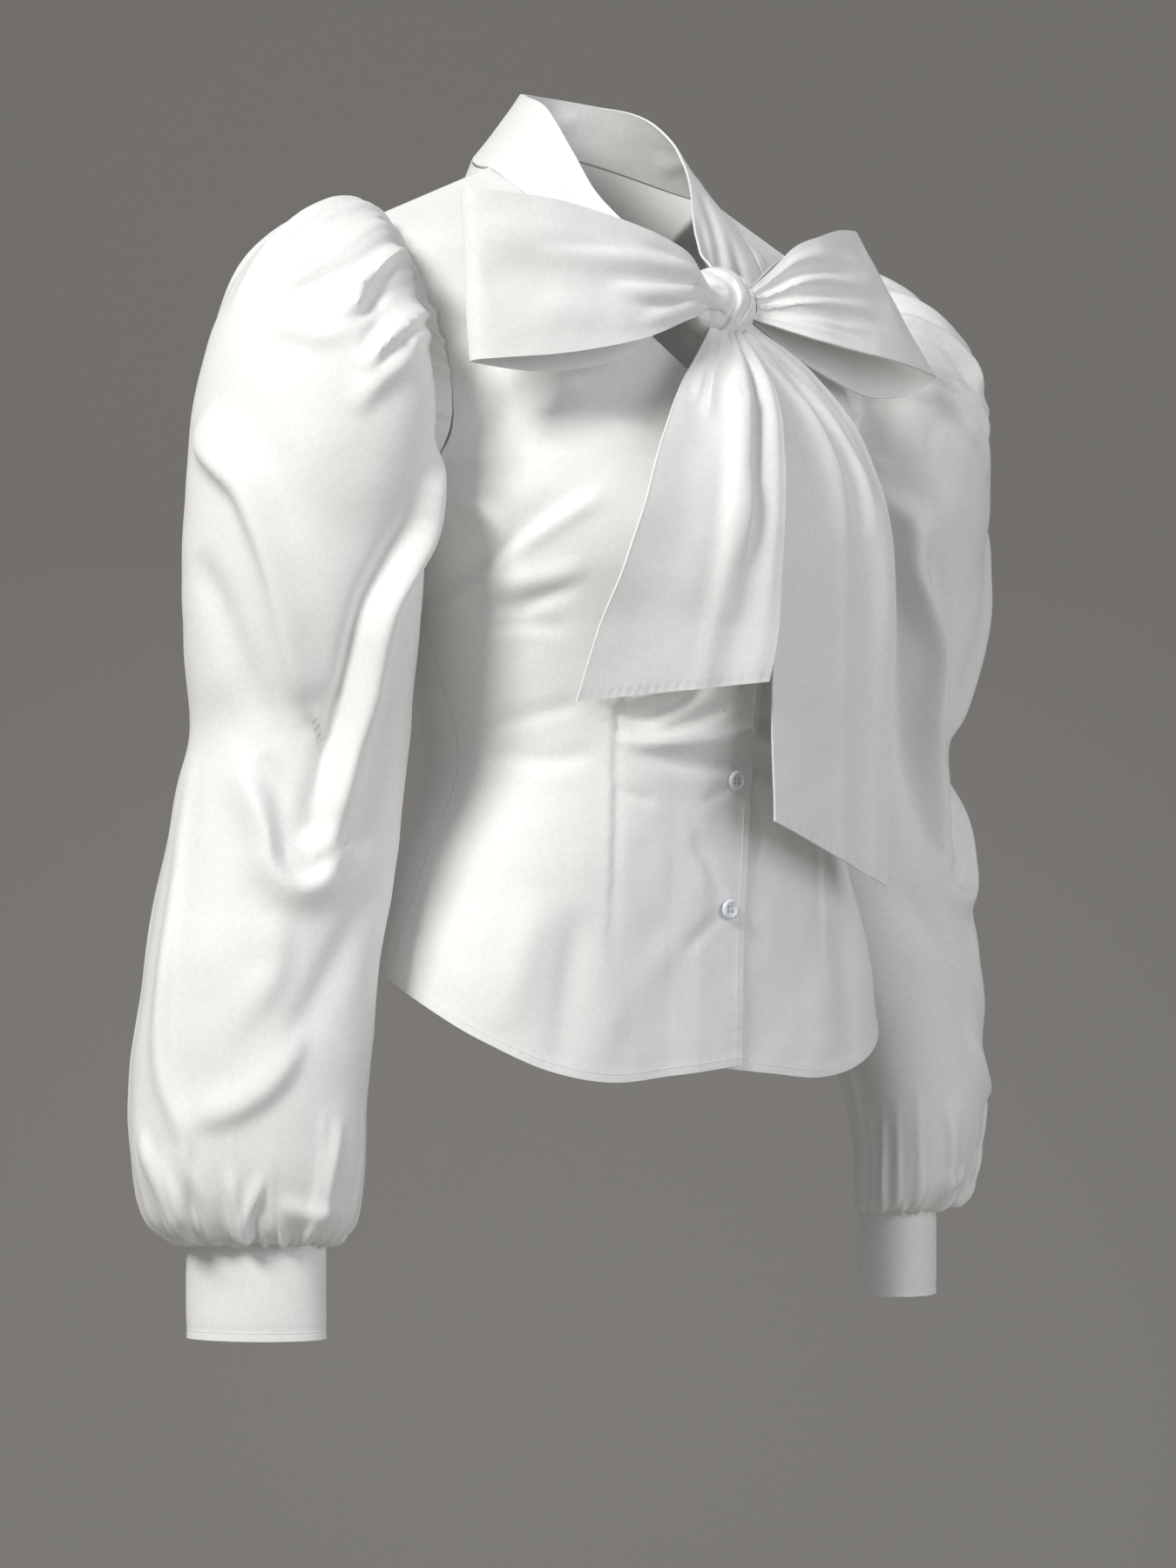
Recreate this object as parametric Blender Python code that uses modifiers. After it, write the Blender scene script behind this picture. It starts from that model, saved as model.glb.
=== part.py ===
# Tie neck blouse, worn: hollow cloth walls in the pose that the wearer gives them.
# Metres, +Z up. The wearer's front looks along -Y and the wearer's right arm is at -X.
# The origin is the middle of the neck, level with the side neck points.

import math
from collections import namedtuple

import bmesh
import bpy
import numpy as np

# Cloth, seams and counts

WALL = 0.0012            # thickness of every cloth wall
SEAM_GAP = 0.0003        # space between two pieces at a seam
SEAT = SEAM_GAP + 0.5 * WALL   # from an edge to the middle of a wall that stands across it
LAP_STEP = WALL + 0.0008       # right front lies this far outside the left front
FRONT_COLUMNS = 12
BACK_COLUMNS = 18
SLEEVE_POINTS = 48       # points round a sleeve, four to a gather
CUFF_POINTS = 26
SHOULDER_SETBACK = 0.0007      # each wall stops this far short of the ridge of the shoulder
ARMHOLE_SEAT = 0.0019          # from the armhole's edge to the first ring of the sleeve

# Driving sizes of the body

SHOULDER_TIP = (0.173, 0.000, -0.044)
SIDE_NECK = (0.085, 0.000, -0.004)
BACK_NECK_RISE = 0.023       # centre back of the neck seam above the origin
BACK_NECK_Y = 0.058
PLACKET_OVERHANG = 0.013     # edge of the right front past the middle
UNDERARM_Z = -0.195
YOKE_Z = -0.060              # above this row the fronts run straight up to the shoulder seam
HEM_ZONE_Z = -0.430          # below this row the curved hem sets the heights
COLLAR_CORNER = (0.050, -0.105)   # distance from the middle and height where the collar seam ends
VEE_Z = -0.185               # foot of the neck opening
BUST_X, BUST_Z, BUST_OUT = 0.078, -0.222, 0.016
BUST_SPREAD_X, BUST_SPREAD_Z = 0.046, 0.050

BodyRing = namedtuple("BodyRing", "z half_width front_y back_y side_y squareness")
BODY_RINGS = (
    BodyRing(-0.540, 0.176, -0.106, 0.094, -0.012, 3.0),
    BodyRing(-0.470, 0.166, -0.108, 0.092, -0.012, 2.9),
    BodyRing(-0.410, 0.145, -0.111, 0.080, -0.016, 2.7),
    BodyRing(-0.345, 0.122, -0.117, 0.072, -0.020, 2.4),
    BodyRing(-0.290, 0.133, -0.127, 0.080, -0.014, 2.3),
    BodyRing(-0.220, 0.150, -0.137, 0.092, -0.004, 2.3),
    BodyRing(-0.160, 0.158, -0.126, 0.098, 0.000, 2.2),
    BodyRing(-0.105, 0.167, -0.100, 0.096, 0.000, 2.1),
    BodyRing(-0.060, 0.171, -0.072, 0.084, 0.000, 2.0),
)

# The hem: height at a share of the way from the middle to the side seam
HemPoint = namedtuple("HemPoint", "share front_z back_z")
HEM = (
    HemPoint(0.00, -0.520, -0.503),
    HemPoint(0.20, -0.525, -0.490),
    HemPoint(0.40, -0.528, -0.473),
    HemPoint(0.55, -0.521, -0.467),
    HemPoint(0.70, -0.505, -0.465),
    HemPoint(0.85, -0.486, -0.466),
    HemPoint(1.00, -0.470, -0.470),
)

# The armhole: distance from the middle at each height, front and back
ArmholePoint = namedtuple("ArmholePoint", "z front_x back_x")
ARMHOLE = (
    ArmholePoint(-0.182, 0.1515, 0.1530),
    ArmholePoint(-0.162, 0.1490, 0.1520),
    ArmholePoint(-0.135, 0.1500, 0.1545),
    ArmholePoint(-0.105, 0.1545, 0.1590),
    ArmholePoint(-0.080, 0.1595, 0.1630),
    ArmholePoint(-0.060, 0.1645, 0.1670),
)

BODY_ROWS = (-0.430, -0.395, -0.365, -0.335, -0.305, -0.275, -0.248, -0.222, UNDERARM_Z)
HEM_STEPS = (0.0, 0.34, 0.67)
YOKE_STEPS = (0.34, 0.67, 1.0)
YOKE_CROWN = 0.006           # fullness of the cloth between that row and the shoulder seam

# Sleeve rings: the outer and the inner point of each ring on a left arm, the half depth from
# front to back, and the height of the gathers on it
SleeveRing = namedtuple("SleeveRing", "outer inner half_depth middle_y gather")
SLEEVE_RINGS = (
    SleeveRing((0.1820, -0.001, -0.0375), (0.1585, 0.000, -0.1975), 0.0440, -0.002, 0.0020),
    SleeveRing((0.2030, -0.006, -0.0400), (0.1600, 0.000, -0.2035), 0.0600, -0.008, 0.0026),
    SleeveRing((0.2320, -0.010, -0.0560), (0.1600, 0.000, -0.2110), 0.0710, -0.012, 0.0024),
    SleeveRing((0.2570, -0.012, -0.0840), (0.1590, 0.000, -0.2190), 0.0750, -0.014, 0.0018),
    SleeveRing((0.2730, -0.011, -0.1220), (0.1570, -0.001, -0.2290), 0.0740, -0.013, 0.0010),
    SleeveRing((0.2820, -0.008, -0.1650), (0.1550, -0.003, -0.2400), 0.0705, -0.009, 0.0005),
    SleeveRing((0.2845, -0.004, -0.2100), (0.1540, -0.005, -0.2540), 0.0665, -0.005, 0.0),
    SleeveRing((0.2840, 0.000, -0.2550), (0.1530, -0.003, -0.2750), 0.0640, -0.002, 0.0),
    SleeveRing((0.2790, 0.005, -0.3020), (0.1515, 0.003, -0.3080), 0.0610, 0.004, 0.0),
    SleeveRing((0.2740, 0.010, -0.3340), (0.1510, 0.007, -0.3370), 0.0590, 0.007, 0.0),
    SleeveRing((0.2820, 0.013, -0.3660), (0.1560, 0.005, -0.3700), 0.0580, 0.008, 0.0),
    SleeveRing((0.2915, 0.013, -0.4100), (0.1650, 0.002, -0.4140), 0.0565, 0.007, 0.0),
    SleeveRing((0.3045, 0.013, -0.4700), (0.1840, -0.010, -0.4740), 0.0530, 0.001, 0.0004),
    SleeveRing((0.3110, 0.017, -0.5250), (0.1960, -0.022, -0.5290), 0.0480, -0.002, 0.0010),
    SleeveRing((0.3120, 0.018, -0.5680), (0.2025, -0.028, -0.5720), 0.0430, -0.005, 0.0020),
    SleeveRing((0.3010, 0.020, -0.6000), (0.2050, -0.024, -0.6030), 0.0380, -0.002, 0.0024),
    SleeveRing((0.2850, 0.020, -0.6125), (0.2100, -0.015, -0.6135), 0.0325, 0.002, 0.0010),
)
GATHERS = SLEEVE_POINTS // 4
GATHER_SPREAD = (0.55, 1.0, 0.75, 0.9, 0.6)   # uneven heights of neighbouring gathers

# Cuff: an oval tube
CUFF_OUTER = (0.2760, 0.0186)
CUFF_INNER = (0.2140, -0.0106)
CUFF_HALF_DEPTH = 0.0300
CUFF_MIDDLE_Y = 0.0040
CUFF_TOP_Z, CUFF_FOOT_Z = -0.6140, -0.6685

# Largest folds of a sleeve: where each starts and ends, as angle round the arm in degrees
# (0 front, 90 outside) and height; its depth (below zero is a ridge) and half width
SleeveFold = namedtuple("SleeveFold", "angle_1 z_1 angle_2 z_2 depth half_width")
SLEEVE_FOLDS = (
    SleeveFold(104, -0.170, 58, -0.320, 0.0065, 0.016),
    SleeveFold(58, -0.320, 30, -0.410, 0.0075, 0.014),
    SleeveFold(-22, -0.180, 2, -0.320, 0.0075, 0.015),
    SleeveFold(2, -0.320, 22, -0.400, 0.0085, 0.013),
    SleeveFold(42, -0.220, 30, -0.375, -0.0070, 0.022),
    SleeveFold(150, -0.200, 190, -0.350, 0.0065, 0.017),
    SleeveFold(238, -0.220, 208, -0.350, 0.0060, 0.016),
    SleeveFold(80, -0.420, 20, -0.460, 0.0035, 0.018),
    SleeveFold(100, -0.410, 86, -0.585, 0.0040, 0.012),
)

# Tie and collar

KNOT_CENTRE = (-0.004, -0.108, -0.088)
KNOT_SIZE = (0.0225, 0.0175, 0.0205)     # half sizes across, deep and high
KNOT_LEAN = math.radians(35.0)           # the wrap of the knot leans down to the wearer's left
KNOT_GROOVE = 0.07           # depth of the grooves between its folds, as a share of its size
KNOT_FOLDS = 9.0             # how close the grooves lie: this over two pi is folds a half size
KNOT_GROOVE_SHIFT = 0.6
KNOT_SEAT = 0.0007           # from the knot to the ends of the loops, the tails and the band
BAND_ROWS = 5
COLLAR_LEAN_IN = 2.5         # near the corners the band leaves the neck edge towards the middle
COLLAR_SEAT = 0.0014         # from the neck edge to the foot of the collar band

# Collar band, from one side of the knot round the neck to the other. Where the band is sewn
# on, seam says how far round the neck seam the section stands: 0 at the foot of the right
# collar seam, 1 at the side neck, 2 at the centre back, 4 at the left corner. Where it hangs
# free, the foot is given instead.
CollarSection = namedtuple("CollarSection", "seam foot top")
COLLAR = (
    CollarSection(None, (-0.0290, -0.1120, -0.0960), (-0.0285, -0.1085, -0.0800)),
    CollarSection(None, (-0.0400, -0.1045, -0.0960), (-0.0360, -0.0960, -0.0640)),
    CollarSection(0.10, None, (-0.0460, -0.0770, -0.0420)),
    CollarSection(0.40, None, (-0.0500, -0.0550, -0.0210)),
    CollarSection(0.70, None, (-0.0490, -0.0330, 0.0050)),
    CollarSection(1.00, None, (-0.0470, -0.0080, 0.0330)),
    CollarSection(1.30, None, (-0.0440, 0.0140, 0.0440)),
    CollarSection(1.65, None, (-0.0290, 0.0370, 0.0510)),
    CollarSection(2.00, None, (0.0000, 0.0470, 0.0540)),
    CollarSection(2.35, None, (0.0290, 0.0370, 0.0510)),
    CollarSection(2.70, None, (0.0440, 0.0140, 0.0430)),
    CollarSection(3.00, None, (0.0490, -0.0080, 0.0250)),
    CollarSection(3.30, None, (0.0430, -0.0300, -0.0010)),
    CollarSection(3.60, None, (0.0260, -0.0520, -0.0250)),
    CollarSection(3.85, None, (0.0120, -0.0740, -0.0500)),
    CollarSection(None, (0.0330, -0.1010, -0.0820), (0.0060, -0.0900, -0.0610)),
    CollarSection(None, (0.0150, -0.1000, -0.0680), (0.0010, -0.0990, -0.0670)),
)

# Loops of the bow: the middle line of the ribbon from the knot out and back behind it, with the
# half height of the ribbon and the height of its pleats
LoopSection = namedtuple("LoopSection", "top foot pleat")
RIGHT_LOOP = (
    LoopSection((-0.0280, -0.1230, -0.0760), (-0.0300, -0.1230, -0.0960), 0.0010),
    LoopSection((-0.0520, -0.1330, -0.0640), (-0.0530, -0.1370, -0.1040), 0.0028),
    LoopSection((-0.0900, -0.1340, -0.0540), (-0.0880, -0.1400, -0.1180), 0.0022),
    LoopSection((-0.1350, -0.1250, -0.0450), (-0.1300, -0.1290, -0.1280), 0.0010),
    LoopSection((-0.1710, -0.1110, -0.0415), (-0.1660, -0.1140, -0.1325), 0.0),
    LoopSection((-0.1810, -0.1020, -0.0410), (-0.1760, -0.1040, -0.1335), 0.0),
    LoopSection((-0.1740, -0.0940, -0.0410), (-0.1690, -0.0960, -0.1340), 0.0),
    LoopSection((-0.1350, -0.0960, -0.0440), (-0.1300, -0.1060, -0.1360), 0.0006),
    LoopSection((-0.0900, -0.1020, -0.0540), (-0.0880, -0.1170, -0.1280), 0.0010),
    LoopSection((-0.0540, -0.1080, -0.0660), (-0.0540, -0.1150, -0.1080), 0.0012),
    LoopSection((-0.0290, -0.1130, -0.0780), (-0.0300, -0.1160, -0.0960), 0.0006),
)
LEFT_LOOP = (
    LoopSection((0.0185, -0.1230, -0.0740), (0.0195, -0.1240, -0.0980), 0.0012),
    LoopSection((0.0390, -0.1240, -0.0530), (0.0480, -0.1370, -0.1060), 0.0030),
    LoopSection((0.0640, -0.1190, -0.0430), (0.0860, -0.1360, -0.1100), 0.0030),
    LoopSection((0.0900, -0.1080, -0.0350), (0.1300, -0.1250, -0.1120), 0.0016),
    LoopSection((0.1135, -0.0960, -0.0315), (0.1680, -0.1070, -0.1130), 0.0),
    LoopSection((0.1200, -0.0890, -0.0310), (0.1750, -0.0970, -0.1150), 0.0),
    LoopSection((0.1150, -0.0850, -0.0320), (0.1660, -0.0890, -0.1230), 0.0),
    LoopSection((0.0920, -0.0880, -0.0380), (0.1280, -0.0960, -0.1280), 0.0008),
    LoopSection((0.0680, -0.0950, -0.0480), (0.0860, -0.1100, -0.1240), 0.0012),
    LoopSection((0.0440, -0.1020, -0.0590), (0.0490, -0.1140, -0.1130), 0.0012),
    LoopSection((0.0200, -0.1100, -0.0760), (0.0205, -0.1150, -0.0980), 0.0006),
)
LOOP_ROWS = 11
LOOP_PLEATS = 3

# Tails: both side edges of the ribbon at each height, and the height of the pleats
TailSection = namedtuple("TailSection", "right left pleat")
UPPER_TAIL = (
    TailSection((-0.0240, -0.1210, -0.1090), (0.0060, -0.1260, -0.1130), 0.0030),
    TailSection((-0.0560, -0.1360, -0.1400), (0.0030, -0.1500, -0.1420), 0.0065),
    TailSection((-0.0830, -0.1500, -0.1750), (-0.0040, -0.1640, -0.1760), 0.0070),
    TailSection((-0.0990, -0.1560, -0.2080), (-0.0090, -0.1700, -0.2090), 0.0060),
    TailSection((-0.1110, -0.1530, -0.2430), (-0.0120, -0.1710, -0.2430), 0.0045),
    TailSection((-0.1220, -0.1430, -0.2800), (-0.0130, -0.1690, -0.2760), 0.0030),
    TailSection((-0.1310, -0.1350, -0.3190), (-0.0170, -0.1660, -0.3050), 0.0020),
)
UNDER_TAIL = (
    TailSection((-0.0080, -0.1160, -0.1120), (0.0180, -0.1180, -0.1010), 0.0020),
    TailSection((-0.0080, -0.1330, -0.1450), (0.0560, -0.1230, -0.1230), 0.0040),
    TailSection((-0.0080, -0.1520, -0.1800), (0.0850, -0.1330, -0.1600), 0.0040),
    TailSection((-0.0080, -0.1610, -0.2300), (0.0980, -0.1440, -0.2150), 0.0030),
    TailSection((-0.0070, -0.1580, -0.2850), (0.1040, -0.1400, -0.2800), 0.0025),
    TailSection((-0.0040, -0.1540, -0.3350), (0.1080, -0.1330, -0.3450), 0.0018),
    TailSection((0.0020, -0.1500, -0.3820), (0.1120, -0.1260, -0.4170), 0.0012),
)
TAIL_COLUMNS = 12
TAIL_PLEATS = 2

# Buttons

BUTTON_RADIUS = 0.00575
BUTTON_THICKNESS = 0.0024
BUTTON_SHANK = 0.0006        # thread between the button and the cloth
BUTTON_PITCH = 0.073
LOWEST_BUTTON_Z = -0.431
FRONT_BUTTONS = 4
CUFF_BUTTON_ANGLE = math.radians(160.0)    # round the arm: 90 outside, 180 back

# Colours of the finished cloth and buttons

CLOTH_COLOUR = (0.84, 0.84, 0.82, 1.0)
BUTTON_COLOUR = (0.86, 0.88, 0.92, 1.0)


def smooth_column(keys, values, at):
    """Value of a smooth curve through the table's points, keys rising."""
    keys = np.asarray(keys, float)
    values = np.asarray(values, float)
    at = np.clip(at, keys[0], keys[-1])
    slopes = np.gradient(values, keys, axis=0)
    k = np.clip(np.searchsorted(keys, at, side="right") - 1, 0, len(keys) - 2)
    span = keys[k + 1] - keys[k]
    t = (at - keys[k]) / span
    if values.ndim > 1 and np.ndim(t):
        t = t[:, None]
        span = span[:, None]
    return ((2 * t**3 - 3 * t**2 + 1) * values[k] + (t**3 - 2 * t**2 + t) * span * slopes[k]
            + (3 * t**2 - 2 * t**3) * values[k + 1] + (t**3 - t**2) * span * slopes[k + 1])


def body_ring(z):
    """Half width, front, back and side y, and squareness of the body at one height."""
    keys = [ring.z for ring in BODY_RINGS]
    return smooth_column(keys, [ring[1:] for ring in BODY_RINGS], float(z))


def front_y(x, z):
    """The front of the body at a distance from the middle, with the bust."""
    half_width, front, _, side, squareness = body_ring(z)
    share = np.clip(np.abs(x) / half_width, 0.0, 1.0)
    y = side + (front - side) * (1.0 - share**squareness) ** (1.0 / squareness)
    bust = np.exp(-((np.abs(x) - BUST_X) / BUST_SPREAD_X) ** 2 - ((z - BUST_Z) / BUST_SPREAD_Z) ** 2)
    return y - BUST_OUT * bust * np.sqrt(1.0 - share**4)


def back_y(x, z):
    """The back of the body at a distance from the middle."""
    half_width, _, back, side, _ = body_ring(z)
    share = np.clip(np.abs(x) / half_width, 0.0, 1.0)
    return side + (back - side) * (1.0 - share**2.2) ** (1.0 / 2.2)


def even_row(surface, z, x_from, x_to, count):
    """Points evenly spaced along the body at one height, between two distances."""
    half_width = body_ring(z)[0]
    angles = np.linspace(math.asin(np.clip(x_from / half_width, -1, 1)),
                         math.asin(np.clip(x_to / half_width, -1, 1)), 160)
    x = half_width * np.sin(angles)
    y = surface(x, z)
    length = np.concatenate([[0.0], np.cumsum(np.hypot(np.diff(x), np.diff(y)))])
    even = np.linspace(0.0, length[-1], count + 1)
    return np.column_stack([np.interp(even, length, x), np.interp(even, length, y),
                            np.full(count + 1, float(z))])


def hem_height(share, back):
    """Height of the hem at a share of the way from the middle to the side seam."""
    column = [point.back_z if back else point.front_z for point in HEM]
    return smooth_column([point.share for point in HEM], column, share)


def neckline_x(z):
    """Distance of the right front's inner edge from the middle: past it at the placket."""
    corner_x, corner_z = COLLAR_CORNER
    heights = (VEE_Z, 0.5 * (VEE_Z + corner_z), corner_z, YOKE_Z, SIDE_NECK[2])
    edges = (-PLACKET_OVERHANG, 0.5 * (corner_x - PLACKET_OVERHANG) - 0.004, corner_x, 0.070, SIDE_NECK[0])
    return float(np.interp(z, heights, edges))


def armhole_x(z, back):
    """Distance of the armhole edge from the middle at one height."""
    column = [point.back_x if back else point.front_x for point in ARMHOLE]
    return float(smooth_column([point.z for point in ARMHOLE], column, z))


def front_rows():
    """Rows of points of a front on the +X side, hem to shoulder, middle to side."""
    rows = []
    share = np.linspace(0.0, 1.0, FRONT_COLUMNS + 1)
    hem = hem_height(share, back=False)
    for step in HEM_STEPS:
        heights = hem + (HEM_ZONE_Z - hem) * step
        row = [even_row(front_y, z, neckline_x(z), body_ring(z)[0], FRONT_COLUMNS)[k]
               for k, z in enumerate(heights)]
        rows.append(np.array(row))
    for z in BODY_ROWS:
        rows.append(even_row(front_y, z, neckline_x(z), body_ring(z)[0], FRONT_COLUMNS))
    for z in [point.z for point in ARMHOLE]:
        rows.append(even_row(front_y, z, neckline_x(z), armhole_x(z, back=False), FRONT_COLUMNS))
    last = rows[-1]
    seam = np.linspace(SIDE_NECK, SHOULDER_TIP, FRONT_COLUMNS + 1)
    for step in YOKE_STEPS:
        row = last + (seam - last) * step
        row[:, 1] -= YOKE_CROWN * math.sin(math.pi * step)
        rows.append(row)
    rows[-1] = set_back(rows[-1], rows[-2])
    for row in rows:
        row[:, 1] -= 0.5 * SEAM_GAP
    return rows


def set_back(edge, inner):
    """An edge row drawn back a little towards the row before it."""
    away = edge - inner
    return edge - SHOULDER_SETBACK * away / np.linalg.norm(away, axis=1)[:, None]


def back_rows():
    """Rows of points of the back, hem to shoulder, wearer's right to left."""
    rows = []
    share = np.abs(np.linspace(-1.0, 1.0, BACK_COLUMNS + 1))
    hem = hem_height(share, back=True)
    for step in HEM_STEPS:
        heights = hem + (HEM_ZONE_Z - hem) * step
        row = [even_row(back_y, z, -body_ring(z)[0], body_ring(z)[0], BACK_COLUMNS)[k]
               for k, z in enumerate(heights)]
        rows.append(np.array(row))
    for z in BODY_ROWS:
        half_width = body_ring(z)[0]
        rows.append(even_row(back_y, z, -half_width, half_width, BACK_COLUMNS))
    for z in [point.z for point in ARMHOLE]:
        edge = armhole_x(z, back=True)
        rows.append(even_row(back_y, z, -edge, edge, BACK_COLUMNS))
    last = rows[-1]
    top = back_top_line(last[:, 0] / last[-1, 0])
    for step in YOKE_STEPS:
        row = last + (top - last) * step
        row[:, 1] += YOKE_CROWN * math.sin(math.pi * step)
        rows.append(row)
    rows[-1] = set_back(rows[-1], rows[-2])
    for row in rows:
        row[:, 1] += 0.5 * SEAM_GAP
    return rows


def back_top_line(share):
    """The back's shoulder seams and neck seam, at shares from -1 to 1 of its width."""
    neck_share = SIDE_NECK[0] / SHOULDER_TIP[0]
    side = np.clip((np.abs(share) - neck_share) / (1.0 - neck_share), 0.0, 1.0)
    neck = np.clip(np.abs(share) / neck_share, 0.0, 1.0)
    shoulder = np.array(SIDE_NECK) + side[:, None] * (np.array(SHOULDER_TIP) - np.array(SIDE_NECK))
    inside = np.cos(0.5 * math.pi * neck)
    x = np.where(neck < 1.0, SIDE_NECK[0] * np.sin(0.5 * math.pi * neck), shoulder[:, 0])
    y = np.where(neck < 1.0, BACK_NECK_Y * inside, shoulder[:, 1])
    z = np.where(neck < 1.0, SIDE_NECK[2] + (BACK_NECK_RISE - SIDE_NECK[2]) * inside**1.5, shoulder[:, 2])
    return np.column_stack([np.sign(share) * x, y, z])


def armhole_loop(count):
    """Points round the left armhole: front, shoulder tip, back and underarm."""
    first = len(HEM_STEPS) + len(BODY_ROWS) - 1
    front = np.array([row[-1] for row in front_rows()[first:]])
    back = np.array([row[-1] for row in back_rows()[first:]])
    angles = sleeve_angles(count)
    front_share = np.clip((angles + 90.0) / 180.0, 0.0, 1.0)
    back_share = np.clip((270.0 - angles) / 180.0, 0.0, 1.0)
    on_front = walk(front, front_share)
    on_back = walk(back, back_share)
    return np.where((angles <= 90.0)[:, None], on_front, on_back)


def walk(points, share):
    """Points at shares of the length of a line through points."""
    steps = np.linalg.norm(np.diff(points, axis=0), axis=1)
    length = np.concatenate([[0.0], np.cumsum(steps)])
    at = np.asarray(share) * length[-1]
    return np.column_stack([np.interp(at, length, points[:, k]) for k in range(3)])


def sleeve_angles(count):
    """Angles round an arm in degrees, from -90 at the underarm: 0 front, 90 outside, 180 back."""
    return -90.0 + 360.0 * np.arange(count) / count


def sleeve_ring(ring, count):
    """One ring of a left sleeve without its gathers."""
    angles = np.radians(sleeve_angles(count))
    outer = np.array(ring.outer)
    inner = np.array(ring.inner)
    middle = 0.5 * (outer + inner)
    points = middle + np.outer(np.sin(angles), 0.5 * (outer - inner))
    points[:, 1] += (ring.middle_y - middle[1]) * np.cos(angles) ** 2 - ring.half_depth * np.cos(angles)
    return points


def sleeve_rows():
    """Rings of a left sleeve from the armhole to the cuff, with gathers and folds."""
    loop = armhole_loop(SLEEVE_POINTS)
    rings = [sleeve_ring(ring, SLEEVE_POINTS) for ring in SLEEVE_RINGS]
    outward = rings[0] - loop
    outward /= np.linalg.norm(outward, axis=1)[:, None]
    rows = [loop + ARMHOLE_SEAT * outward]
    angles = sleeve_angles(SLEEVE_POINTS)
    for ring, points in zip(SLEEVE_RINGS, rings):
        centre = points.mean(axis=0)
        away = points - centre
        radius = np.linalg.norm(away, axis=1)
        away /= radius[:, None]
        at_head = points[:, 2].mean() > UNDERARM_Z
        top_share = np.clip(0.35 + 0.75 * np.sin(np.radians(angles)), 0.0, 1.0) if at_head else 1.0
        heights = np.array([GATHER_SPREAD[(k // 4) % len(GATHER_SPREAD)] for k in range(SLEEVE_POINTS)])
        wave = np.sin(2.0 * math.pi * GATHERS * (angles + 90.0) / 360.0)
        push = ring.gather * heights * wave * top_share
        for fold in SLEEVE_FOLDS:
            push = push - fold_depth(fold, angles, points[:, 2], radius)
        rows.append(points + away * push[:, None])
    foot = sleeve_ring(cuff_ring(CUFF_TOP_Z + SEAT), SLEEVE_POINTS)
    rows.append(foot)
    return rows


def fold_depth(fold, angles, heights, radius):
    """How far a fold pushes each point of a ring in."""
    across = (angles + 180.0 - fold.angle_1) % 360.0 - 180.0
    s = np.radians(across) * radius
    t = heights - fold.z_1
    run_s = math.radians(fold.angle_2 - fold.angle_1) * radius
    run_t = fold.z_2 - fold.z_1
    along = np.clip((s * run_s + t * run_t) / (run_s**2 + run_t**2), 0.0, 1.0)
    gap = np.hypot(s - along * run_s, 0.6 * (t - along * run_t))
    return fold.depth * np.exp(-(gap / fold.half_width) ** 2)


def cuff_ring(z):
    """The oval of a left cuff at one height."""
    return SleeveRing((*CUFF_OUTER, z), (*CUFF_INNER, z), CUFF_HALF_DEPTH, CUFF_MIDDLE_Y, 0.0)


def cuff_rows():
    """Rings of a left cuff, a plain oval tube."""
    heights = np.linspace(CUFF_TOP_Z, CUFF_FOOT_Z, 3)
    return [sleeve_ring(cuff_ring(z), CUFF_POINTS) for z in heights]


def resample(sections, count):
    """Points along a smooth curve through the sections' points, evenly in their order."""
    keys = np.arange(len(sections), dtype=float)
    at = np.linspace(0.0, keys[-1], count)
    return smooth_column(keys, np.array(sections, float), at)


def ribbon_rows(first_edge, second_edge, pleats, along, across, pleat_count):
    """A strip between two edges, with pleats that run along it."""
    first = resample(first_edge, along)
    second = resample(second_edge, along)
    height = resample([[value, value, value] for value in pleats], along)[:, 0]
    share = np.linspace(0.0, 1.0, across)
    path = 0.5 * (first + second)
    forward = np.gradient(path, axis=0)
    rows = []
    for k in range(along):
        strip = first[k] + share[:, None] * (second[k] - first[k])
        normal = np.cross(second[k] - first[k], forward[k])
        normal /= np.linalg.norm(normal)
        wave = np.sin(2.0 * math.pi * pleat_count * share) * np.sin(math.pi * share) ** 0.5
        rows.append(strip + np.outer(height[k] * wave, normal))
    return rows


def mirror(rows):
    """The same rows on the wearer's other side."""
    return [row * np.array([-1.0, 1.0, 1.0]) for row in rows]


def cloth_material():
    """White cotton poplin."""
    return plain_material("poplin", CLOTH_COLOUR, 0.75)


def plain_material(name, colour, roughness):
    """A Principled material with a colour and a roughness."""
    material = bpy.data.materials.new(name)
    material.use_nodes = True
    shader = material.node_tree.nodes["Principled BSDF"]
    shader.inputs["Base Color"].default_value = colour
    shader.inputs["Roughness"].default_value = roughness
    shader.inputs["Metallic"].default_value = 0.0
    material.diffuse_color = colour
    return material


def cloth_wall(name, rows, closed, collection):
    """A wall of cloth through rows of points: an open surface with Solidify."""
    rows = [np.asarray(row) for row in rows]
    columns = len(rows[0])
    points = np.vstack(rows)
    faces = []
    for i in range(len(rows) - 1):
        for j in range(columns if closed else columns - 1):
            k = (j + 1) % columns
            faces.append((i * columns + j, i * columns + k, (i + 1) * columns + k, (i + 1) * columns + j))
    mesh = bpy.data.meshes.new(name)
    mesh.from_pydata([tuple(point) for point in points], [], faces)
    mesh.validate()
    work = bmesh.new()
    work.from_mesh(mesh)
    bmesh.ops.recalc_face_normals(work, faces=work.faces)
    bmesh.ops.triangulate(work, faces=work.faces, quad_method="SHORT_EDGE")
    work.to_mesh(mesh)
    work.free()
    mesh.shade_smooth()
    item = bpy.data.objects.new(name, mesh)
    item.data.materials.append(cloth_material())
    wall = item.modifiers.new("wall", "SOLIDIFY")
    wall.thickness = WALL
    wall.offset = 0.0
    collection.objects.link(item)
    return item


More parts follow.
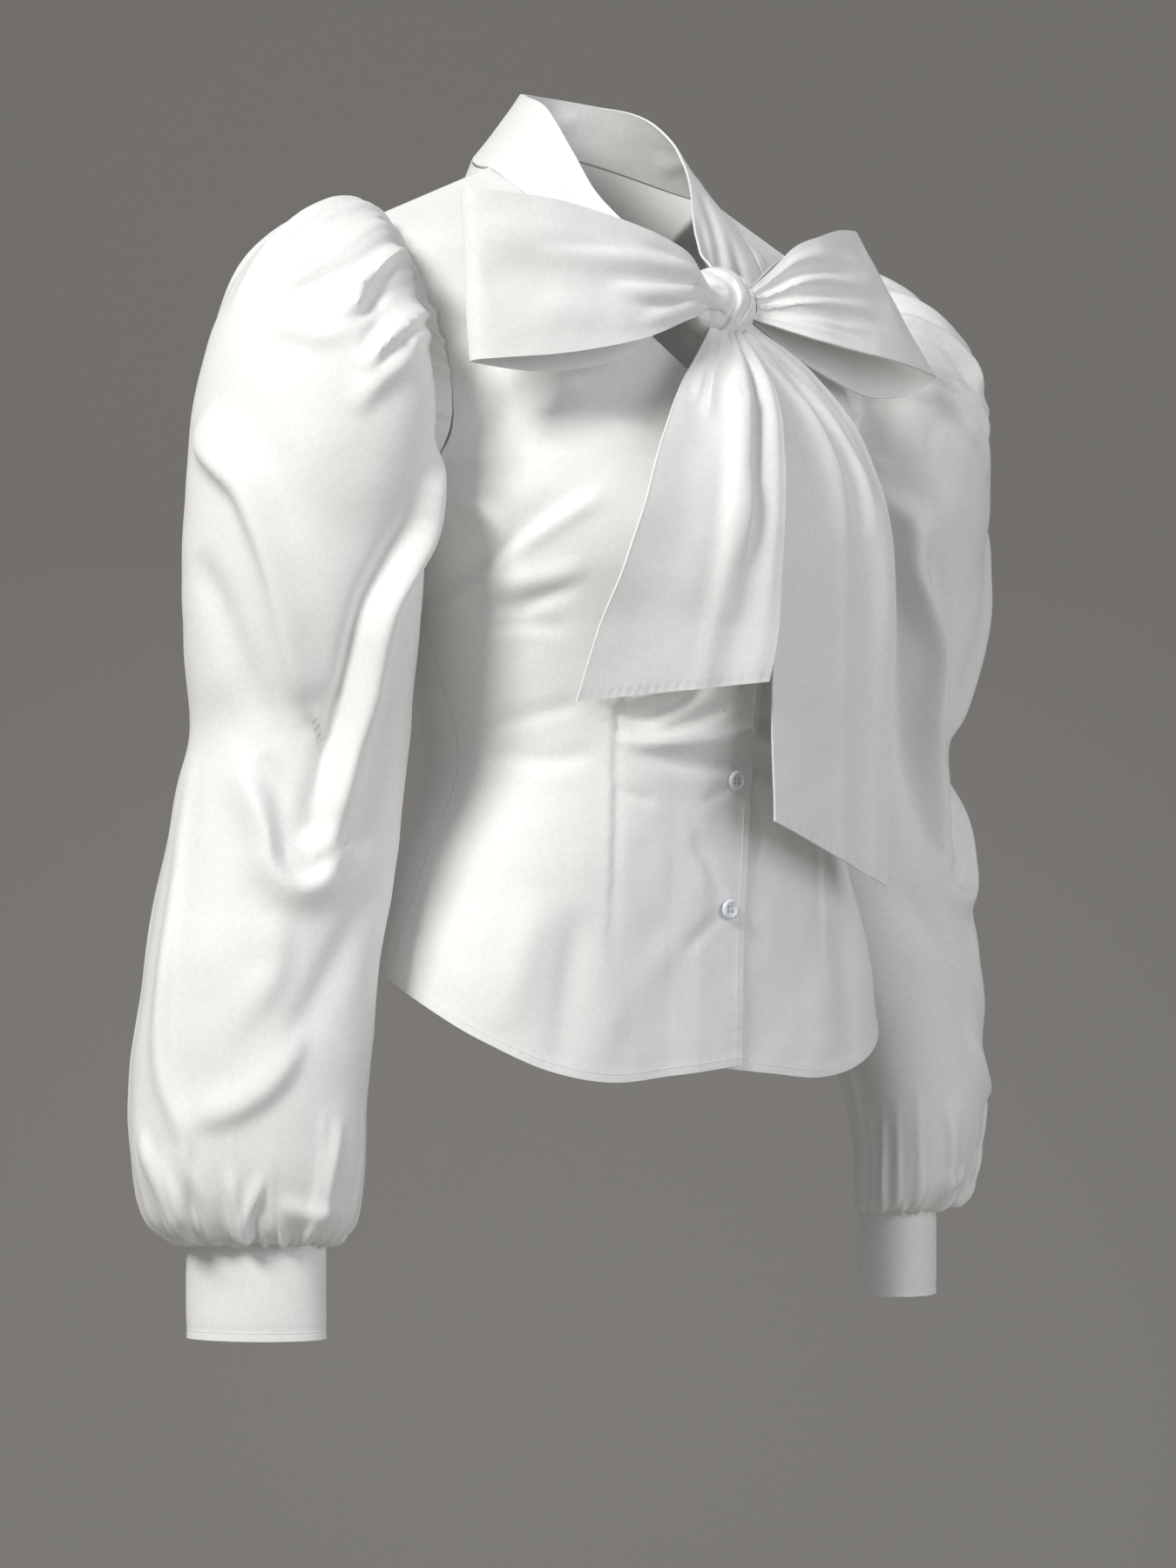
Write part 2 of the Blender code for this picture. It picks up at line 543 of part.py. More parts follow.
def lap_out(rows):
    """The right front near the middle, moved out to lie on the left front."""
    for row in rows:
        share = np.clip((0.040 - row[:, 0]) / 0.020, 0.0, 1.0)
        row[:, 1] -= LAP_STEP * share
    return rows


def build_fronts(collection):
    """Right front over left front."""
    left = front_rows()
    right = lap_out(front_rows())
    cloth_wall("front_left", left, False, collection)
    cloth_wall("front_right", mirror(right), False, collection)


def build_sleeves(collection):
    """Both puffed sleeves and their cuffs."""
    for side, place in (("left", list), ("right", mirror)):
        cloth_wall("sleeve_" + side, place(sleeve_rows()), True, collection)
        cloth_wall("cuff_" + side, place(cuff_rows()), True, collection)


def neck_seam(place):
    """A point of the neck seam: 0 right collar corner, 1 side neck, 2 centre back, 4 left corner."""
    side = -1.0 if place < 2.0 else 1.0
    from_corner = place if place < 2.0 else 4.0 - place
    if from_corner < 1.0:
        z = COLLAR_CORNER[1] + from_corner * (SIDE_NECK[2] - COLLAR_CORNER[1])
        step = np.clip((z - YOKE_Z) / (SIDE_NECK[2] - YOKE_Z), 0.0, 1.0)
        x = neckline_x(z)
        on_body = float(front_y(neckline_x(min(z, YOKE_Z)), min(z, YOKE_Z)))
        y = on_body + (SIDE_NECK[1] - on_body) * step - YOKE_CROWN * math.sin(math.pi * step)
        return np.array([side * x, y, z])
    share = (2.0 - from_corner) * SIDE_NECK[0] / SHOULDER_TIP[0]
    point = back_top_line(np.array([share]))[0]
    point[0] *= side
    return point


def knot_point(unit):
    """The point of the knot's surface in a direction, given on a sphere of size one."""
    lean = np.array([math.cos(KNOT_LEAN), 0.0, math.sin(KNOT_LEAN)])
    groove = KNOT_GROOVE * math.cos(KNOT_FOLDS * float(unit @ lean) + KNOT_GROOVE_SHIFT)
    groove *= 0.5 * (1.0 - unit[1])
    return unit * (1.0 + groove) * np.array(KNOT_SIZE) + np.array(KNOT_CENTRE)


def seat_on_knot(row):
    """The end of a strip, brought to the knot that holds it."""
    centre = np.array(KNOT_CENTRE)
    ends = []
    for point in row:
        direction = (point - centre) / np.array(KNOT_SIZE)
        surface = knot_point(direction / np.linalg.norm(direction))
        out = (surface - centre) / np.linalg.norm(surface - centre)
        ends.append(surface + KNOT_SEAT * out)
    return np.array(ends)


def build_collar(collection):
    """The standing band of the tie, from one side of the knot round the neck to the other."""
    feet = []
    for section in COLLAR:
        if section.seam is None:
            feet.append(np.array(section.foot))
            continue
        seam = neck_seam(section.seam)
        away = np.array(section.top) - seam
        away /= np.linalg.norm(away)
        near_corner = max(0.0, abs(section.seam - 2.0) - 1.0)
        away[0] -= math.copysign(COLLAR_LEAN_IN, seam[0]) * near_corner
        seat = COLLAR_SEAT * (1.0 + 0.7 * near_corner)
        feet.append(seam + seat * away / np.linalg.norm(away))
    rows = ribbon_rows(feet, [section.top for section in COLLAR], [0.0] * len(COLLAR),
                       2 * len(COLLAR) + 1, BAND_ROWS, 1)
    rows[0] = seat_on_knot(rows[0])
    rows[-1] = seat_on_knot(rows[-1])
    cloth_wall("collar_band", rows, False, collection)


def build_bow(collection):
    """Two loops, the knot and two tails."""
    for name, table in (("bow_loop_right", RIGHT_LOOP), ("bow_loop_left", LEFT_LOOP)):
        rows = ribbon_rows([s.top for s in table], [s.foot for s in table], [s.pleat for s in table],
                           2 * len(table), LOOP_ROWS, LOOP_PLEATS)
        rows[0] = seat_on_knot(rows[0])
        rows[-1] = seat_on_knot(rows[-1])
        cloth_wall(name, rows, False, collection)
    for name, table in (("tie_tail_upper", UPPER_TAIL), ("tie_tail_under", UNDER_TAIL)):
        rows = ribbon_rows([s.right for s in table], [s.left for s in table], [s.pleat for s in table],
                           2 * len(table), TAIL_COLUMNS, TAIL_PLEATS)
        rows[0] = seat_on_knot(rows[0])
        cloth_wall(name, rows, False, collection)
    build_knot(collection)


def build_knot(collection):
    """The wrap of the knot, a rounded lump with the grooves of its folds."""
    work = bmesh.new()
    bmesh.ops.create_uvsphere(work, u_segments=18, v_segments=11, radius=1.0)
    for vert in work.verts:
        vert.co = knot_point(np.array(vert.co))
    mesh = bpy.data.meshes.new("bow_knot")
    work.to_mesh(mesh)
    work.free()
    mesh.shade_smooth()
    mesh.materials.append(cloth_material())
    collection.objects.link(bpy.data.objects.new("bow_knot", mesh))


def build_button(name, centre, normal, collection):
    """A flat round button that lies on the cloth."""
    work = bmesh.new()
    bmesh.ops.create_cone(work, cap_ends=True, segments=20, radius1=BUTTON_RADIUS,
                          radius2=0.92 * BUTTON_RADIUS, depth=BUTTON_THICKNESS)
    mesh = bpy.data.meshes.new(name)
    work.to_mesh(mesh)
    work.free()
    mesh.shade_smooth()
    mesh.set_sharp_from_angle(angle=math.radians(40.0))
    item = bpy.data.objects.new(name, mesh)
    item.data.materials.append(plain_material("button", BUTTON_COLOUR, 0.3))
    normal = np.array(normal) / np.linalg.norm(normal)
    out = 0.5 * WALL + BUTTON_SHANK + 0.5 * BUTTON_THICKNESS
    item.location = tuple(np.array(centre) + out * normal)
    item.rotation_euler = (math.acos(normal[2]), 0.0, math.atan2(normal[0], -normal[1]))
    collection.objects.link(item)


def build_cuff_buttons(collection):
    """One button on the back of each cuff, half way down it."""
    outer, inner = np.array(CUFF_OUTER), np.array(CUFF_INNER)
    reach = 0.5 * (outer - inner)
    sine, cosine = math.sin(CUFF_BUTTON_ANGLE), math.cos(CUFF_BUTTON_ANGLE)
    point = 0.5 * (outer + inner) + sine * reach - np.array([0.0, CUFF_HALF_DEPTH * cosine])
    along = cosine * reach + np.array([0.0, CUFF_HALF_DEPTH * sine])
    normal = np.array([-along[1], along[0]])
    normal *= math.copysign(1.0, float(normal @ (point - 0.5 * (outer + inner))))
    z = 0.5 * (CUFF_TOP_Z + CUFF_FOOT_Z)
    for side, sign in (("left", 1.0), ("right", -1.0)):
        build_button("button_cuff_" + side, (sign * point[0], point[1], z),
                     (sign * normal[0], normal[1], 0.0), collection)


def build_buttons(collection):
    """Front buttons on the right front, at an even pitch."""
    for k in range(FRONT_BUTTONS):
        z = LOWEST_BUTTON_Z + k * BUTTON_PITCH
        step = 0.004
        slope = (front_y(0.0, z + step) - front_y(0.0, z - step)) / (2.0 * step)
        y = float(front_y(0.0, z)) - LAP_STEP - 0.5 * SEAM_GAP
        build_button("button_front_%d" % (FRONT_BUTTONS - k), (0.0, y, z), (0.0, -1.0, float(slope)), collection)


def main():
    """Clear the scene and build every piece in one collection."""
    for item in list(bpy.data.objects):
        bpy.data.objects.remove(item, do_unlink=True)
    collection = bpy.data.collections.new("tie_neck_blouse")
    bpy.context.scene.collection.children.link(collection)
    build_fronts(collection)
    cloth_wall("back", back_rows(), False, collection)
    build_sleeves(collection)
    build_collar(collection)
    build_bow(collection)
    build_buttons(collection)
    build_cuff_buttons(collection)


main()
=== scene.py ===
# %% [markdown]
# # A white blouse with a big tied bow
#
# The blouse is cotton poplin: a crisp, close plain weave that is light enough to gather into
# puffed sleeves and stiff enough to hold a bow. Nothing in it is solid. Every panel is a thin
# sheet, so we build sheets, and let small changes of height in them draw all the folds.
#
# We begin with the imported model, which fixes the size and the place of every panel.

# %% Load the model, bake in its transforms and keep its meshes
import math
from collections import namedtuple

import bmesh
import bpy
import numpy as np
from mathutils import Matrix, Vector, noise


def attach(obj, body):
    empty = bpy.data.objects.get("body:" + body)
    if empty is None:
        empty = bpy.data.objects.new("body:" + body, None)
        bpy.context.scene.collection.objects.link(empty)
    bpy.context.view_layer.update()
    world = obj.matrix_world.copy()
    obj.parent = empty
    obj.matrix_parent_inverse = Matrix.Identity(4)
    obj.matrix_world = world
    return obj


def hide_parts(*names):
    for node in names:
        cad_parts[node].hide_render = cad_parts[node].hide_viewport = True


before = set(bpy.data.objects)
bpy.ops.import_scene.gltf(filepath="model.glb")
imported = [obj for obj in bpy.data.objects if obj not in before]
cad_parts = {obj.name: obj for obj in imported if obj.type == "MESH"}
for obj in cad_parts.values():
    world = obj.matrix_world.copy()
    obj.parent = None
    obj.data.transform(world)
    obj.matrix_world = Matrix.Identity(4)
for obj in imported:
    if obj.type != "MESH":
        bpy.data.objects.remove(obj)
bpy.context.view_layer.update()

# %% [markdown]
# ## Camera, light and floor
#
# White cloth on a white floor is lost, so the picture is lit like a shop photograph: one large
# soft light high up on the camera's left, a weaker one on the right, and a pale floor that turns
# up into a wall far enough away to fall into grey. We could light with the world alone, but then
# no fold would have a dark side, and folds are all that a white blouse has to show.

# %% The camera, level and 2.5 m away on the wearer's right
CAMERA_TURN = math.radians(-40.0)
CAMERA_DISTANCE = 2.5
CAMERA_HEIGHT = -0.454
FRAME_WIDTH, FRAME_HEIGHT = 1350, 1800
FOCAL_PIXELS = 4875.0
AXIS_PIXEL, HORIZON_PIXEL = 690.0, 1090.0
SENSOR = 36.0

camera_data = bpy.data.cameras.new("camera")
camera_data.sensor_width = SENSOR
camera_data.sensor_height = SENSOR
camera_data.sensor_fit = "VERTICAL"
camera_data.lens = SENSOR * FOCAL_PIXELS / FRAME_HEIGHT
camera_data.shift_x = (0.5 * FRAME_WIDTH - AXIS_PIXEL) / FRAME_HEIGHT
camera_data.shift_y = (HORIZON_PIXEL - 0.5 * FRAME_HEIGHT) / FRAME_HEIGHT
camera = bpy.data.objects.new("camera", camera_data)
bpy.context.scene.collection.objects.link(camera)
toward_camera = Vector((math.sin(CAMERA_TURN), -math.cos(CAMERA_TURN), 0.0))
camera.location = toward_camera * CAMERA_DISTANCE + Vector((0.0, 0.0, CAMERA_HEIGHT))
camera.rotation_euler = (math.radians(90.0), 0.0, CAMERA_TURN)
bpy.context.scene.camera = camera
print("Camera at", [round(v, 3) for v in camera.location], "lens", round(camera_data.lens, 1))


# %% Soft lights
def area_light(name, turn, height, distance, size, watts, colour):
    """A square light that looks at the middle of the blouse."""
    data = bpy.data.lights.new(name, "AREA")
    data.shape = "SQUARE"
    data.size = size
    data.energy = watts
    data.color = colour
    item = bpy.data.objects.new(name, data)
    bpy.context.scene.collection.objects.link(item)
    around = math.radians(turn)
    item.location = (distance * math.sin(around), -distance * math.cos(around), height)
    aim = Vector((0.0, 0.0, -0.32)) - item.location
    item.rotation_euler = aim.to_track_quat("-Z", "Y").to_euler()
    return item


area_light("key", -76.0, 1.05, 2.3, 0.8, 58.0, (1.0, 0.985, 0.96))
area_light("fill", 14.0, 0.05, 2.6, 1.8, 22.0, (0.97, 0.985, 1.0))
area_light("top", 20.0, 2.2, 0.7, 1.2, 2.5, (1.0, 1.0, 1.0))
area_light("rim", 140.0, 0.8, 2.2, 1.4, 8.0, (0.98, 0.99, 1.0))

world = bpy.data.worlds.new("studio")
world.use_nodes = True
world.node_tree.nodes["Background"].inputs["Color"].default_value = (0.93, 0.96, 1.0, 1.0)
world.node_tree.nodes["Background"].inputs["Strength"].default_value = 0.30
bpy.context.scene.world = world
bpy.context.scene.view_settings.view_transform = "Standard"

# %% A floor that turns up into a wall
FLOOR_Z = -1.25
SWEEP_RADIUS = 1.2
SWEEP_STEPS = 24
WALL_TOP = 3.5
WALL_AWAY = 2.6
HALF_SWEEP = 7.0

profile = [(-6.0, FLOOR_Z), (WALL_AWAY - SWEEP_RADIUS, FLOOR_Z)]
for step in range(1, SWEEP_STEPS + 1):
    bend = 0.5 * math.pi * step / SWEEP_STEPS
    profile.append((WALL_AWAY - SWEEP_RADIUS + SWEEP_RADIUS * math.sin(bend),
                    FLOOR_Z + SWEEP_RADIUS * (1.0 - math.cos(bend))))
profile.append((WALL_AWAY, WALL_TOP))
ahead = -toward_camera
beside = Vector((math.cos(CAMERA_TURN), math.sin(CAMERA_TURN), 0.0))
sweep_points = []
for away, height in profile:
    for side in (-HALF_SWEEP, HALF_SWEEP):
        point = ahead * away + beside * side
        sweep_points.append((point.x, point.y, height))
sweep_faces = [(2 * k, 2 * k + 1, 2 * k + 3, 2 * k + 2) for k in range(len(profile) - 1)]
sweep_mesh = bpy.data.meshes.new("floor")
sweep_mesh.from_pydata(sweep_points, [], sweep_faces)
sweep_mesh.shade_smooth()
floor = bpy.data.objects.new("floor", sweep_mesh)
bpy.context.scene.collection.objects.link(floor)
floor_material = bpy.data.materials.new("pale_floor")
floor_material.use_nodes = True
floor_shader = floor_material.node_tree.nodes["Principled BSDF"]
floor_shader.inputs["Base Color"].default_value = (0.30, 0.285, 0.268, 1.0)
floor_shader.inputs["Roughness"].default_value = 0.9
floor.data.materials.append(floor_material)
print("Floor at", FLOOR_Z)

# %% [markdown]
# ## Poplin and buttons
#
# Poplin looks plain from afar, but three things make it read as cotton: a very fine rib across
# the width, a soft unevenness where it was pressed, and a faint sheen where it turns away. The
# rib is made by two wave textures that run along the cloth's own UV map, which is measured in
# metres, so the thread has its true size on every panel. A picture of cloth would be simpler,
# but it would stretch over the gathers.


# %% The poplin material
def add_node(tree, kind, **settings):
    """A node with its settings and inputs filled in."""
    node = tree.nodes.new(kind)
    for key, value in settings.items():
        if key in node.inputs:
            node.inputs[key].default_value = value
        else:
            setattr(node, key, value)
    return node


def poplin(name, colour, roughness):
    """White poplin with a woven rib, pressed unevenness and a soft sheen."""
    material = bpy.data.materials.new(name)
    material.use_nodes = True
    tree = material.node_tree
    shader = tree.nodes["Principled BSDF"]
    shader.inputs["Sheen Weight"].default_value = 0.12
    shader.inputs["Sheen Roughness"].default_value = 0.45
    shader.inputs["Specular IOR Level"].default_value = 0.32
    uv = add_node(tree, "ShaderNodeUVMap", uv_map="cloth")
    place = add_node(tree, "ShaderNodeTexCoord")
    across = add_node(tree, "ShaderNodeTexWave", bands_direction="X", Scale=THREADS_ACROSS, Distortion=1.2)
    across.inputs["Detail Scale"].default_value = 8.0
    along = add_node(tree, "ShaderNodeTexWave", bands_direction="Y", Scale=THREADS_ALONG, Distortion=1.5)
    along.inputs["Detail Scale"].default_value = 8.0
    for wave in (across, along):
        tree.links.new(uv.outputs["UV"], wave.inputs["Vector"])
    threads = add_node(tree, "ShaderNodeMath", operation="ADD")
    tree.links.new(across.outputs["Fac"], threads.inputs[0])
    tree.links.new(along.outputs["Fac"], threads.inputs[1])
    pressed = add_node(tree, "ShaderNodeTexNoise", Scale=26.0, Detail=3.0, Roughness=0.55)
    slubs = add_node(tree, "ShaderNodeTexNoise", Scale=420.0, Detail=2.0)
    for cloud in (pressed, slubs):
        tree.links.new(place.outputs["Object"], cloud.inputs["Vector"])
    weave = add_node(tree, "ShaderNodeBump", Strength=0.10, Distance=0.00012)
    tree.links.new(threads.outputs["Value"], weave.inputs["Height"])
    crumple = add_node(tree, "ShaderNodeBump", Strength=0.16, Distance=0.0016)
    tree.links.new(pressed.outputs["Fac"], crumple.inputs["Height"])
    tree.links.new(weave.outputs["Normal"], crumple.inputs["Normal"])
    tree.links.new(crumple.outputs["Normal"], shader.inputs["Normal"])
    tint = add_node(tree, "ShaderNodeValToRGB")
    darker = tuple(0.955 * v for v in colour)
    tint.color_ramp.elements[0].position = 0.35
    tint.color_ramp.elements[0].color = (*darker, 1.0)
    tint.color_ramp.elements[1].position = 0.62
    tint.color_ramp.elements[1].color = (*colour, 1.0)
    tree.links.new(slubs.outputs["Fac"], tint.inputs["Fac"])
    tree.links.new(tint.outputs["Color"], shader.inputs["Base Color"])
    gloss = add_node(tree, "ShaderNodeMapRange")
    gloss.inputs["To Min"].default_value = roughness - 0.05
    gloss.inputs["To Max"].default_value = roughness + 0.06
    tree.links.new(pressed.outputs["Fac"], gloss.inputs["Value"])
    tree.links.new(gloss.outputs["Result"], shader.inputs["Roughness"])
    material.diffuse_color = (*colour, 1.0)
    return material


THREADS_ACROSS = 700.0      # waves over a metre, about half the real thread count
THREADS_ALONG = 480.0
CLOTH_WHITE = (0.86, 0.86, 0.845)
THREAD_WHITE = (0.80, 0.80, 0.785)

poplin_material = poplin("poplin", CLOTH_WHITE, 0.58)
thread_material = poplin("sewing_thread", THREAD_WHITE, 0.5)
print("Cloth materials:", poplin_material.name, thread_material.name)


# %% The button material
def shell_white(name):
    """Pressed shirt-button plastic: bluish white with faint pearly clouds."""
    material = bpy.data.materials.new(name)
    material.use_nodes = True
    tree = material.node_tree
    shader = tree.nodes["Principled BSDF"]
    shader.inputs["Roughness"].default_value = 0.24
    shader.inputs["Coat Weight"].default_value = 0.25
    shader.inputs["Coat Roughness"].default_value = 0.15
    place = add_node(tree, "ShaderNodeTexCoord")
    clouds = add_node(tree, "ShaderNodeTexNoise", Scale=260.0, Detail=4.0, Distortion=0.8)
    tree.links.new(place.outputs["Object"], clouds.inputs["Vector"])
    tint = add_node(tree, "ShaderNodeValToRGB")
    tint.color_ramp.elements[0].color = (0.74, 0.79, 0.87, 1.0)
    tint.color_ramp.elements[1].color = (0.88, 0.90, 0.93, 1.0)
    tree.links.new(clouds.outputs["Fac"], tint.inputs["Fac"])
    tree.links.new(tint.outputs["Color"], shader.inputs["Base Color"])
    return material


button_material = shell_white("shell_white")
print("Button material:", button_material.name)

# %% [markdown]
# ## From a table of points to a sheet of cloth
#
# A garment panel is easiest to describe by a few rings or rows of points, and to read between
# them with a smooth curve. The first helper reads a table that way. The second lays a grid of
# points out as cloth: it moves the grid out and in by half the cloth's thickness, closes the
# rims, and gives it a UV map in metres. Blender's Solidify would do the same, but the grid also
# tells us which way the thread runs.


# %% Reading between the rows of a table
def smooth_column(keys, values, at):
    """Value of a smooth curve through the table's points, keys rising."""
    keys = np.asarray(keys, float)
    values = np.asarray(values, float)
    at = np.clip(at, keys[0], keys[-1])
    slopes = np.gradient(values, keys, axis=0)
    k = np.clip(np.searchsorted(keys, at, side="right") - 1, 0, len(keys) - 2)
    span = keys[k + 1] - keys[k]
    t = (at - keys[k]) / span
    if values.ndim > 1 and np.ndim(t):
        t = t[:, None]
        span = span[:, None]
    return ((2 * t**3 - 3 * t**2 + 1) * values[k] + (t**3 - 2 * t**2 + t) * span * slopes[k]
            + (3 * t**2 - 2 * t**3) * values[k + 1] + (t**3 - t**2) * span * slopes[k + 1])


def grid_normals(grid, closed):
    """Unit normals of a grid of points; closed grids join their last column to the first."""
    if closed:
        across = np.roll(grid, -1, axis=1) - np.roll(grid, 1, axis=1)
    else:
        across = np.gradient(grid, axis=1)
    along = np.gradient(grid, axis=0)
    normals = np.cross(across, along)
    return normals / np.maximum(np.linalg.norm(normals, axis=2), 1e-12)[:, :, None]


# %% A grid laid out as cloth
CLOTH = 0.0009              # thickness of one layer as it is drawn


def cloth_sheet(name, grid, closed=False, thickness=CLOTH, outward=None, material=None):
    """A closed thin body from a grid: outer side, inner side and rims, with UVs in metres."""
    rows, columns = grid.shape[:2]
    normals = grid_normals(grid, closed)
    if outward is not None and float(np.sum(normals[rows // 2, columns // 2] * outward)) < 0.0:
        normals = -normals
    outer = grid + 0.5 * thickness * normals
    inner = grid - 0.5 * thickness * normals
    points = np.concatenate([outer.reshape(-1, 3), inner.reshape(-1, 3)])
    i, j = np.meshgrid(np.arange(rows - 1), np.arange(columns if closed else columns - 1), indexing="ij")
    i, j = i.ravel(), j.ravel()
    k = (j + 1) % columns
    a, b, c, d = i * columns + j, i * columns + k, (i + 1) * columns + k, (i + 1) * columns + j
    side = rows * columns
    direction = np.cross(grid[1, 1] - grid[1, 0], grid[2, 0] - grid[1, 0])
    if float(direction @ normals[1, 0]) < 0.0:
        a, b, c, d = d, c, b, a
    faces = [np.column_stack([a, b, c, d]), side + np.column_stack([d, c, b, a])]
    edge_j = np.arange(columns if closed else columns - 1)
    rims = [(edge_j, (edge_j + 1) % columns),
            ((rows - 1) * columns + (edge_j + 1) % columns, (rows - 1) * columns + edge_j)]
    if not closed:
        edge_i = np.arange(rows - 1)
        rims.append(((edge_i + 1) * columns, edge_i * columns))
        rims.append((edge_i * columns + columns - 1, (edge_i + 1) * columns + columns - 1))
    flip = float(direction @ normals[1, 0]) < 0.0
    for first, second in rims:
        quad = np.column_stack([second, first, side + first, side + second])
        faces.append(quad[:, ::-1] if flip else quad)
    faces = np.concatenate(faces)
    mesh = bpy.data.meshes.new(name)
    mesh.from_pydata(points.tolist(), [], faces.tolist())
    step = np.linalg.norm(np.diff(grid, axis=0), axis=2).mean(axis=1)
    v = np.concatenate([[0.0], np.cumsum(step)])
    width = np.linalg.norm(np.diff(grid, axis=1), axis=2).sum(axis=1).mean()
    u = np.linspace(0.0, width, columns)
    place = np.stack(np.meshgrid(u, v), axis=2).reshape(-1, 2)
    place = np.concatenate([place, place])
    layer = mesh.uv_layers.new(name="cloth")
    corner = np.empty(len(mesh.loops), int)
    mesh.loops.foreach_get("vertex_index", corner)
    layer.data.foreach_set("uv", place[corner].astype(np.float32).ravel())
    mesh.shade_smooth()
    mesh.set_sharp_from_angle(angle=math.radians(60.0))
    item = bpy.data.objects.new(name, mesh)
    mesh.materials.append(material or poplin_material)
    bpy.context.scene.collection.objects.link(item)
    return item


# %% [markdown]
# ## Folds
#
# A fold is a line on the cloth with a height across it. A tailor's eye sees two kinds: the soft
# trough, even on both sides, and the fold that laps, steep on one side and slow on the other. One
# bell curve with two widths makes both. Each fold is placed one by one, uneven in length and depth,
# because an even row of waves looks like corrugated card.

# %% Folds as listed lines
Fold = namedtuple("Fold", "line depth near far start end")
# line: places on the panel; depth: how far it pushes in, below zero for a ridge; near and far:
# its half width on each side of the line; start and end: the share of the depth at its two ends

FOLD_POINTS = 24


def fold_push(points, normals, line, fold):
    """How far one fold pushes each point in, for a line of points in space."""
    keys = np.arange(len(line), dtype=float)
    path = smooth_column(keys, line, np.linspace(0.0, keys[-1], FOLD_POINTS)) if len(line) > 1 else line
    reach = 3.0 * max(fold.near, fold.far)
    low, high = path.min(axis=0) - reach, path.max(axis=0) + reach
    chosen = np.where(np.all((points > low) & (points < high), axis=1))[0]
    push = np.zeros(len(points))
    if len(chosen) == 0:
        return push
    p = points[chosen]
    best = np.full(len(p), np.inf)
    share = np.zeros(len(p))
    side = np.zeros(len(p))
    for k in range(len(path) - 1):
        a, ab = path[k], path[k + 1] - path[k]
        t = np.clip(((p - a) @ ab) / max(float(ab @ ab), 1e-14), 0.0, 1.0)
        away = p - a - t[:, None] * ab
        gap = np.linalg.norm(away, axis=1)
        closer = gap < best
        best[closer] = gap[closer]
        share[closer] = ((k + t) / (len(path) - 1))[closer]
        turned = np.einsum("ij,ij->i", away, np.cross(normals[chosen], ab))
        side[closer] = turned[closer]
    width = np.where(side > 0.0, fold.near, fold.far)
    ends = fold.start + (1.0 - fold.start) * np.sin(0.5 * np.pi * np.clip(share / 0.35, 0.0, 1.0))
    ends = ends * (fold.end + (1.0 - fold.end) * np.sin(0.5 * np.pi * np.clip((1.0 - share) / 0.35, 0.0, 1.0)))
    push[chosen] = fold.depth * ends * np.exp(-(best / width) ** 2)
    return push


def press_folds(grid, closed, folds, place):
    """The grid with all its folds pressed in; place turns a fold's line into points in space."""
    normals = grid_normals(grid, closed)
    flat, straight = grid.reshape(-1, 3), normals.reshape(-1, 3)
    push = np.zeros(len(flat))
    for fold in folds:
        push += fold_push(flat, straight, place(fold.line), fold)
    return grid - (push[:, None] * straight).reshape(grid.shape)


def scaled(folds, depth, width):
    """The same folds, deeper and narrower, or the other way round."""
    return tuple(fold._replace(depth=fold.depth * depth, near=fold.near * width, far=fold.far * width)
                 for fold in folds)


def unevenness(grid, closed, height, size, seed, hold=None):
    """Slow, irregular swells that any worn cotton has; hold keeps them off the seams."""
    normals = grid_normals(grid, closed)
    flat = grid.reshape(-1, 3)
    shift = Vector((seed * 3.7, seed * 1.3, -seed * 2.1))
    swell = np.array([noise.noise(Vector(p) / size + shift)
                      + 0.5 * noise.noise(Vector(p) / (0.42 * size) - shift)
                      for p in flat.tolist()]).reshape(grid.shape[:2])
    if hold is not None:
        swell = swell * hold
    return grid + height * swell[:, :, None] * normals


# %% [markdown]
# ## The body: two fronts and a back
#
# A worn blouse keeps the shape of the figure inside it, so the body is described by ovals at
# several heights and by two soft rounds for the bust. The fronts and the back are three separate
# panels that meet at the side and shoulder seams, 0.3 mm apart, as they do when sewn.

# %% Sizes of the body
WALL = 0.0012
SEAM_GAP = 0.0003
SEAT = SEAM_GAP + 0.5 * WALL
LAP_STEP = WALL + 0.0008
SHOULDER_SETBACK = 0.0007
ARMHOLE_SEAT = 0.0010
SHOULDER_TIP = (0.173, 0.000, -0.044)
SIDE_NECK = (0.085, 0.000, -0.004)
BACK_NECK_RISE = 0.023
BACK_NECK_Y = 0.058
PLACKET_OVERHANG = 0.013
UNDERARM_Z = -0.195
YOKE_Z = -0.060
HEM_ZONE_Z = -0.430
COLLAR_CORNER = (0.050, -0.105)
VEE_Z = -0.185
BUST_X, BUST_Z, BUST_OUT = 0.078, -0.222, 0.016
BUST_SPREAD_X, BUST_SPREAD_Z = 0.046, 0.050
YOKE_CROWN = 0.006
BACK_SQUARENESS = 2.2
NECKLINE_HOLLOW = 0.004     # how far the V's edge bows in
NECKLINE_AT_YOKE = 0.070

BodyRing = namedtuple("BodyRing", "z half_width front_y back_y side_y squareness")
BODY_RINGS = (
    BodyRing(-0.540, 0.176, -0.106, 0.094, -0.012, 3.0),
    BodyRing(-0.470, 0.166, -0.108, 0.092, -0.012, 2.9),
    BodyRing(-0.410, 0.145, -0.111, 0.080, -0.016, 2.7),
    BodyRing(-0.345, 0.122, -0.117, 0.072, -0.020, 2.4),
    BodyRing(-0.290, 0.133, -0.127, 0.080, -0.014, 2.3),
    BodyRing(-0.220, 0.150, -0.137, 0.092, -0.004, 2.3),
    BodyRing(-0.160, 0.158, -0.126, 0.098, 0.000, 2.2),
    BodyRing(-0.105, 0.167, -0.100, 0.096, 0.000, 2.1),
    BodyRing(-0.060, 0.171, -0.072, 0.084, 0.000, 2.0),
)
HemPoint = namedtuple("HemPoint", "share front_z back_z")
